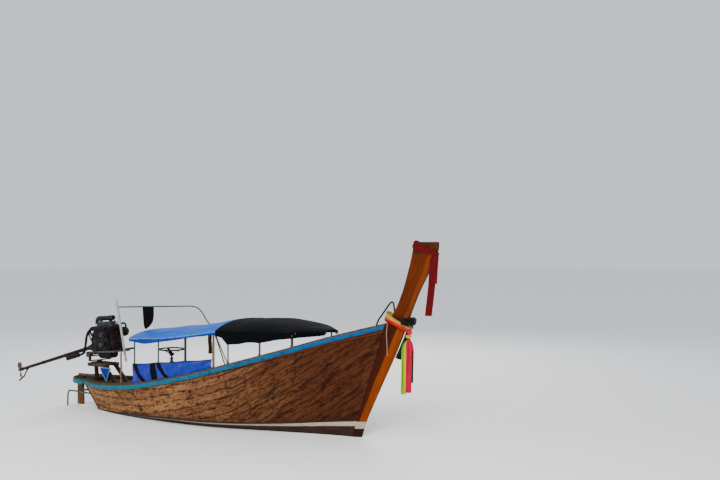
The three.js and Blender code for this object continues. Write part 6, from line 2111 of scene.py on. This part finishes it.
make("three_spoke_wheel", gathered(*shapes), WHEEL_BLACK, "steering_wheel", "wheel_plastic",
     replaces=("steering_wheel",))
print("wheel", TRIANGLES["three_spoke_wheel"])

# %% [markdown]
# The boat floats, so the floor of the scene is the water's level. It is a plain pale disc with a
# hole in the shape of the hull's waterline, so that no floor shows inside the boat. Large soft
# lights stand for a studio: one warm key ahead of the near side, a cool fill and a rim.

# %% The floor and the lights
def floor_material():
    net, _ = new_material("studio_floor")
    for key, value in (("Base Color", (0.90, 0.91, 0.92, 1)), ("Roughness", 0.7)):
        net.feed(net.shader.inputs[key], value)
    return net.material


HOLE_AFT, HOLE_FORE = -2.575, 2.48


def waterline_hole():
    """The hull's outline at the water, half a plank inside its outer face."""
    half = []
    for along in shares(60):
        chine, foot = bottom_point(along, 0), bottom_point(along, 1)
        t = chine.z / (chine.z - foot.z)
        p = chine.lerp(foot, t)
        half.append((p.x, max(p.y - 0.015, 0.02)))
    half = [(x, y) for x, y in half if HOLE_AFT < x < HOLE_FORE]
    half = [(HOLE_AFT - 0.025, half[0][1])] + half + [(HOLE_FORE + 0.01, 0.03)]
    return half + [(x, -y) for x, y in half[::-1]]


def build_floor():
    hole = [vec(x, y, 0) for x, y in waterline_hole()]
    rows = [[spot + spot.normalized() * reach for spot in hole] for reach in (0.0, 0.25, 1.2)]
    rows += [[spot.normalized() * reach for spot in hole] for reach in (9.2, 93.2)]
    floor = mesh_object("studio_floor", row_grid(rows, around=True, caps=False), fix_normals=False, merge=0)
    if floor.data.polygons[0].normal.z < 0:
        floor.data.flip_normals()
    floor.data.materials.append(floor_material())
    print("floor hole points", len(hole))


build_floor()


def soft_light(name, place, target, size, power, tint):
    data = bpy.data.lights.new(name, "AREA")
    data.shape = "DISK"
    data.size = size
    data.energy = power
    data.color = tint
    lamp = linked(name, data)
    lamp.location = place
    lamp.rotation_euler = (Vector(target) - Vector(place)).to_track_quat("-Z", "Y").to_euler()


soft_light("key", (7.0, -11.0, 8.5), (0, 0, 0.6), 6.0, 2100, (1.0, 0.93, 0.84))
soft_light("fill", (-10.0, -9.0, 6.0), (-1, 0, 0.8), 7.0, 600, (0.86, 0.93, 1.0))
soft_light("rim", (-3.0, 11.0, 9.0), (0, 0, 0.8), 6.0, 900, (1.0, 0.97, 0.92))
world = bpy.data.worlds.new("studio")
world.use_nodes = True
world.node_tree.nodes["Background"].inputs["Color"].default_value = (0.82, 0.86, 0.92, 1)
world.node_tree.nodes["Background"].inputs["Strength"].default_value = 1.0
bpy.context.scene.world = world

# %% Hand over
print("pieces", len(TRIANGLES), "triangles", sum(TRIANGLES.values()))
